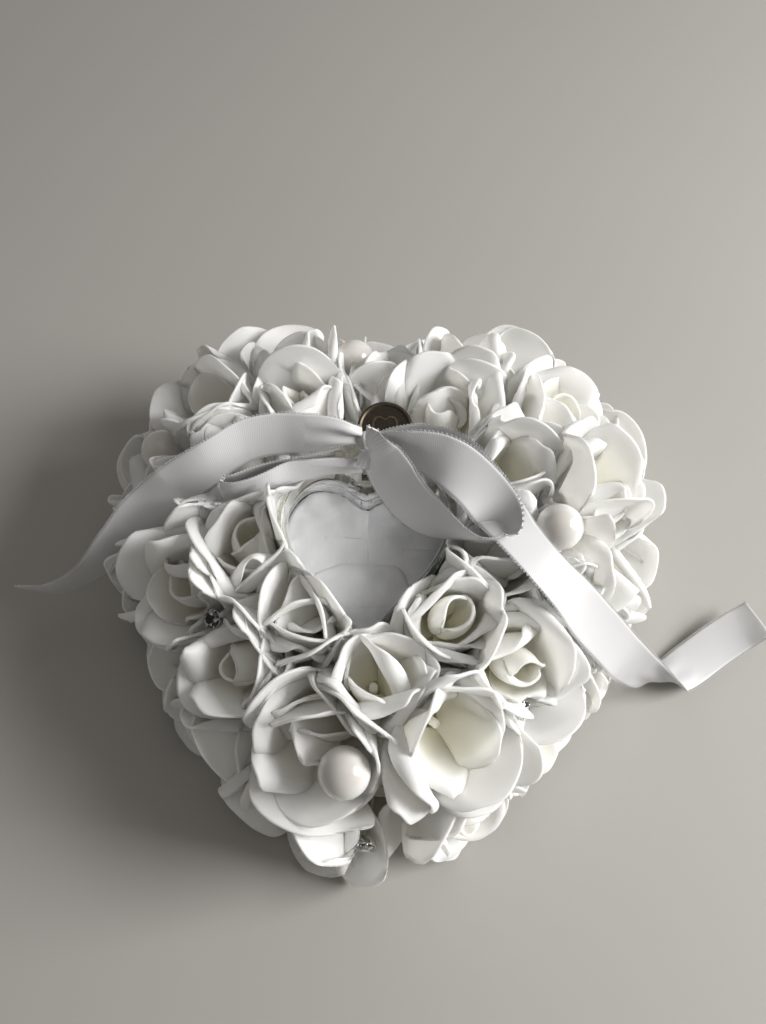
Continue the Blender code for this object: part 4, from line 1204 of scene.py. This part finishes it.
def rosePetals(rng, size, opened, budded):
    grids = []
    start = rng.uniform(0, 6.28)
    for depth, layer in enumerate(petalLayers):
        start += rng.uniform(0.4, 0.9)
        if depth == 0 and not budded:
            continue
        spread = 1 + (opened - 1) * (depth + 1) / 5
        for k in range(layer["count"]):
            turn = start + 2 * math.pi * k / layer["count"] + rng.uniform(-0.28, 0.28)
            grid, reach = petalPoints(layer, rng, turn, size * spread * rng.uniform(0.92, 1.06))
            lean = rng.uniform(-0.12, 0.16) * min(depth, 2) / 2
            sway = rng.uniform(-0.16, 0.16) * min(depth, 2) / 2
            tip = Matrix.Rotation(lean, 3, Vector((-math.sin(turn), math.cos(turn), 0)))
            tip = np.array(Matrix.Rotation(sway, 3, Vector((math.cos(turn), math.sin(turn), 0))) @ tip)
            grid = (grid.reshape(-1, 3) @ tip.T).reshape(grid.shape)
            # inner layers get a lower reach, and so more painted crevice shade
            grids.append((grid, np.clip(reach * (0.60 + 0.10 * depth), 0, 1), turn))
    return grids


roseNames = sorted(name for name in frame["nodes"] if name.startswith("rose_"))
roseSeats = {}
for name in roseNames:
    end, axis, reach = nodeAxis(name)
    seat = end + axis * roseShape["stemDepth"]
    roseSeats[name] = (seat, axis, seat + axis * roseShape["middle"])


def softLimit(value, start, limit):
    # leaves small values alone and eases larger ones up to the limit
    span = limit - start
    return np.where(value > start, start + span * np.tanh((value - start) / span), value)


def pressFromNeighbours(points, name):
    # where the next rose stands in the way, a petal is pushed back and up
    centre, axis = roseSeats[name][2], roseSeats[name][1]
    for other in roseNames:
        gap = roseSeats[other][2] - centre
        distance = np.linalg.norm(gap)
        if other == name or distance > roseShape["neighbourReach"]:
            continue
        way = gap / distance
        both = "outer" in name and "outer" in other
        limit = distance / 2 + roseShape["lapOutside" if both else "lap"]
        s = (points - centre) @ way
        lost = s - softLimit(s, limit * 0.60, limit)
        points = points - lost[:, None] * way + (lost * roseShape["lift"])[:, None] * axis
    return points


def pressFromFloor(points):
    points = points.copy()
    points[:, 2] = -softLimit(-points[:, 2], -0.004, -roseShape["floorGap"])
    return points


boxWall = boxHeart(-0.0003, 120)
foamEdge = foamHeartOutline(0, 72)


def pressFromBox(points, centre):
    # first off a plane at the nearest wall, then off the wall itself
    distance, way = outlineDistance(centre[None, :2], boxWall)
    inward, wall = -way[0], centre[:2] - way[0] * distance[0]
    depth = (points[:, :2] - wall) @ inward
    eased = softLimit(depth, -0.006, 0.0015)
    points = points.copy()
    points[:, :2] -= inward * (depth - eased)[:, None]
    lift, lipLift = roseShape["boxLift"]
    points[:, 2] += (depth - eased) * lift
    distance, way = outlineDistance(points[:, :2], boxWall)
    start, least = roseShape["boxEase"], roseShape["boxGap"]
    span = start - least
    near = distance < start
    moved = least + span * np.exp((distance[near] - start) / span)
    points[near, :2] += way[near] * (moved - distance[near])[:, None]
    points[near, 2] += (moved - distance[near]) * lipLift
    return points


# what the open lid needs behind the hinge: depth, backward lean, half width and the ease round it
lidRoom = {"behind": 0.0026, "lean": 0.12, "half": 0.0265, "ease": 0.003}


def pressFromLid(points, centre):
    # petals behind the hinge leave room for the lid when it stands open
    if centre[1] < hinge.y:
        return points
    ease = lidRoom["ease"]
    rise = np.maximum(points[:, 2] - hinge.z + ease, 0)
    least = hinge.y + lidRoom["behind"] + rise * lidRoom["lean"]
    weight = np.clip((lidRoom["half"] - np.abs(points[:, 0] - hinge.x)) / ease, 0, 1) * (rise > 0)
    points = points.copy()
    points[:, 1] += (-softLimit(-points[:, 1], -least - ease, -least) - points[:, 1]) * weight
    return points


def pressInside(points):
    # nothing reaches far past the foam heart
    distance, way = outlineDistance(points[:, :2], foamEdge)
    points = points.copy()
    points[:, :2] -= way * (distance - softLimit(distance, *roseShape["outside"]))[:, None]
    return points


def pressFromPin(points, centre, axis, radius):
    # a pin's head stands clear, with the petals round it pressed below its middle
    s = (points - centre) @ axis
    across = np.linalg.norm(points - centre - np.outer(s, axis), axis=1)
    weight = np.clip((radius + 0.0030 - across) / 0.0025, 0, 1) * (s < 0.03)
    return points + np.outer((softLimit(s, -radius * 0.9 - 0.002, -radius * 0.25) - s) * weight, axis)


def pressFromButton(points):
    middle, face = np.array(buttonPlace), np.array(buttonAxis)
    s = (points - middle) @ face
    across = np.linalg.norm(points - middle - np.outer(s, face), axis=1)
    weight = np.clip((buttonShape["radius"] + 0.0035 - across) / 0.003, 0, 1) * (s < 0.008)
    return points + np.outer((softLimit(s, -0.0045, -0.0016) - s) * weight, face)


def pressFromBall(points, centre, radius, ease):
    gap = points - centre
    distance = np.maximum(np.linalg.norm(gap, axis=1), 1e-6)
    near = distance < radius + ease
    moved = radius + ease * np.exp((distance[near] - radius - ease) / ease)
    points = points.copy()
    points[near] += gap[near] / distance[near][:, None] * (moved - distance[near])[:, None]
    return points


pressCore = np.array([0.0, 0.0, -0.010])
# how far under a ribbon petals stay, how soon beside it they may rise, and how steeply
ribbonRoom = {"under": 0.0010, "beside": 0.0012, "slope": 2.2, "ease": 0.0035, "cone": 0.55}


def stripSamples(name):
    # points all over a ribbon, as directions from the core and distances
    centres, sides, _, shares, _ = ribbonLines[name]
    across = np.linspace(-0.5, 0.5, 7)[None, :, None] * bow["width"] * shares[::3, None, None]
    spots = (centres[::3, None, :] + sides[::3, None, :] * across).reshape(-1, 3) - pressCore
    reach = np.linalg.norm(spots, axis=1)
    return spots / reach[:, None], reach


ribbonSamples = {name: stripSamples(name) for name in ribbonLines}


def pressUnder(points, name):
    # keeps petals nearer the core than the ribbon that lies over them
    ways, reaches = ribbonSamples[name]
    spots = points - pressCore
    reach = np.linalg.norm(spots, axis=1)
    way = spots / reach[:, None]
    middle = way.mean(0) / np.linalg.norm(way.mean(0))
    close = ways @ middle > ribbonRoom["cone"]
    if not close.any():
        return points
    apart = np.sqrt(np.maximum(2 - 2 * way @ ways[close].T, 0)) * reaches[close]
    aside = np.maximum(apart - ribbonRoom["beside"], 0) * ribbonRoom["slope"]
    limit = (reaches[close] - ribbonRoom["under"] + aside).min(1)
    reach = softLimit(reach, limit - ribbonRoom["ease"], limit)
    return pressCore + way * reach[:, None]


knotMiddle = nearHinge(knotShape["offset"])


def settleRose(points, name):
    centre = roseSeats[name][2]
    points = pressFromNeighbours(points, name)
    if name.startswith("rose_outer"):
        points = pressInside(pressFromFloor(points))
    else:
        points = pressFromBox(points, centre)
    for head in pinHeads:
        if np.linalg.norm(head["at"] - centre) < head["near"]:
            points = pressFromPin(points, head["at"], head["clear"], head["radius"])
            points = pressFromBall(points, head["at"], head["radius"] + head["gap"], head["ease"])
    if np.linalg.norm(np.array(buttonPlace) - centre) < roseShape["buttonNear"]:
        points = pressFromButton(points)
    points = pressFromBall(points, knotMiddle, 0.0050, 0.002)
    for ribbon in ribbonLines:
        points = pressUnder(points, ribbon)
    return pressFromLid(points, centre)


def leanPetal(grid, turn, place, name):
    # turns a whole petal in or out on its foot until little of it has to be pressed
    foot = np.array([math.cos(turn), math.sin(turn), 0.0]) * roseShape["foot"]
    crease = Vector((-math.sin(turn), math.cos(turn), 0))
    best, least = grid, 1e9
    for lean in roseShape["leans"]:
        turned = (grid - foot) @ np.array(Matrix.Rotation(-lean, 3, crease)).T + foot
        points = turned[::3, ::3].reshape(-1, 3) @ place[:3, :3].T + place[:3, 3]
        moved = np.linalg.norm(settleRose(points, name) - points, axis=1)
        cost = np.percentile(moved, 90) + abs(lean) * 0.0012
        if cost < least:
            best, least = turned, cost
        if cost < roseShape["enough"]:
            break
    return best


def makeRose(name, index):
    rng = random.Random(100 + index)
    seat, axis, _ = roseSeats[name]
    tilt = Vector([rng.uniform(-roseShape["tilt"], roseShape["tilt"]) for _ in range(2)] + [0])
    leaned = (Vector(axis) + tilt).normalized()
    place = np.array(placeOn(seat, leaned, rng.uniform(0, 6.28)))
    size = rng.uniform(0.95, 1.07) * roseShape["growth"][name.split("_")[1]]
    opened = rng.uniform(0.95, 1.30)
    budded = rng.random() < roseShape["budded"]
    pile = Pile()
    for grid, reach, turn in rosePetals(rng, size, opened, budded):
        grid = leanPetal(grid, turn, place, name)
        points = grid.reshape(-1, 3) @ place[:3, :3].T + place[:3, 3]
        points = settleRose(points, name)
        verts, quads, source = thickSheet(points.reshape(grid.shape), roseShape["foam"])
        pile.add(verts, quads, reach=reach.ravel()[source])
    thick, deep, rise = roseShape["stemRadius"], roseShape["stemDepth"], roseShape["stemRise"]
    stem = [(0.0, rise), (thick, rise), (thick, -deep), (0.0, -deep)]
    pile.add(*lathe(stem, 10, placeOn(seat, axis)), reach=0.3)
    rose = pile.make("foamRose" + name[5:].title().replace("_", ""), [petalFoam], "body")
    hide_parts(name)


for index, name in enumerate(roseNames):
    makeRose(name, index)
print("roses made")

room = {
    "floor": (0.395, 0.383, 0.359),
    "fill": (0.19, (1.0, 0.97, 0.92, 1.0)),
    # place, size, watts and colour
    "window": ((0.78, -0.04, 0.50), 0.44, 12.4, (1.0, 0.995, 0.985)),
    "ceiling": ((0.15, 0.10, 0.95), 0.9, 0.8, (1.0, 0.98, 0.95)),
    "aim": (0, 0, 0.03),
    "camera": {"place": (0.00027, -0.0907, 0.2307), "tilt": 28, "lens": 27.98},
}


def linkNew(name, data):
    obj = bpy.data.objects.new(name, data)
    scene.collection.objects.link(obj)
    return obj


def makeTable():
    mesh = bpy.data.meshes.new("tableTop")
    bm = bmesh.new()
    bmesh.ops.create_grid(bm, x_segments=1, y_segments=1, size=3.0)
    bm.to_mesh(mesh)
    bm.free()
    table = linkNew("tableTop", mesh)
    material, tree, shader = newMaterial("paleTable", Roughness=0.75)
    cloud = noiseNode(tree, objectPlace(tree), 6.0, 3.0)
    low = tuple(c * 0.97 for c in room["floor"])
    rampInto(tree, cloud.outputs["Fac"], shader.inputs["Base Color"], (0.3, low), (0.7, room["floor"]))
    mesh.materials.append(material)


def makeLights():
    world = bpy.data.worlds.new("softRoom")
    world.use_nodes = True
    background = world.node_tree.nodes["Background"]
    background.inputs["Strength"].default_value, background.inputs["Color"].default_value = room["fill"]
    scene.world = world
    for title in ("window", "ceiling"):
        place, size, power, colour = room[title]
        lamp = bpy.data.lights.new(title, "AREA")
        lamp.shape = "SQUARE"
        lamp.size = size
        lamp.energy = power
        lamp.color = colour
        lampObject = linkNew(title, lamp)
        lampObject.location = place
        aim = Vector(room["aim"]) - Vector(place)
        lampObject.rotation_euler = aim.to_track_quat("-Z", "Y").to_euler()
    scene.view_settings.view_transform = "Standard"
    scene.cycles.diffuse_bounces = 10
    scene.cycles.max_bounces = 14


def makeCamera():
    camera = bpy.data.cameras.new("camera")
    camera.lens = room["camera"]["lens"]
    camera.sensor_width = 36.0
    camera.clip_start = 0.01
    cameraObject = linkNew("camera", camera)
    cameraObject.location = room["camera"]["place"]
    cameraObject.rotation_euler = (math.radians(room["camera"]["tilt"]), 0, 0)
    scene.camera = cameraObject


makeTable()
makeLights()
makeCamera()
print("room made")

bpy.context.view_layer.update()
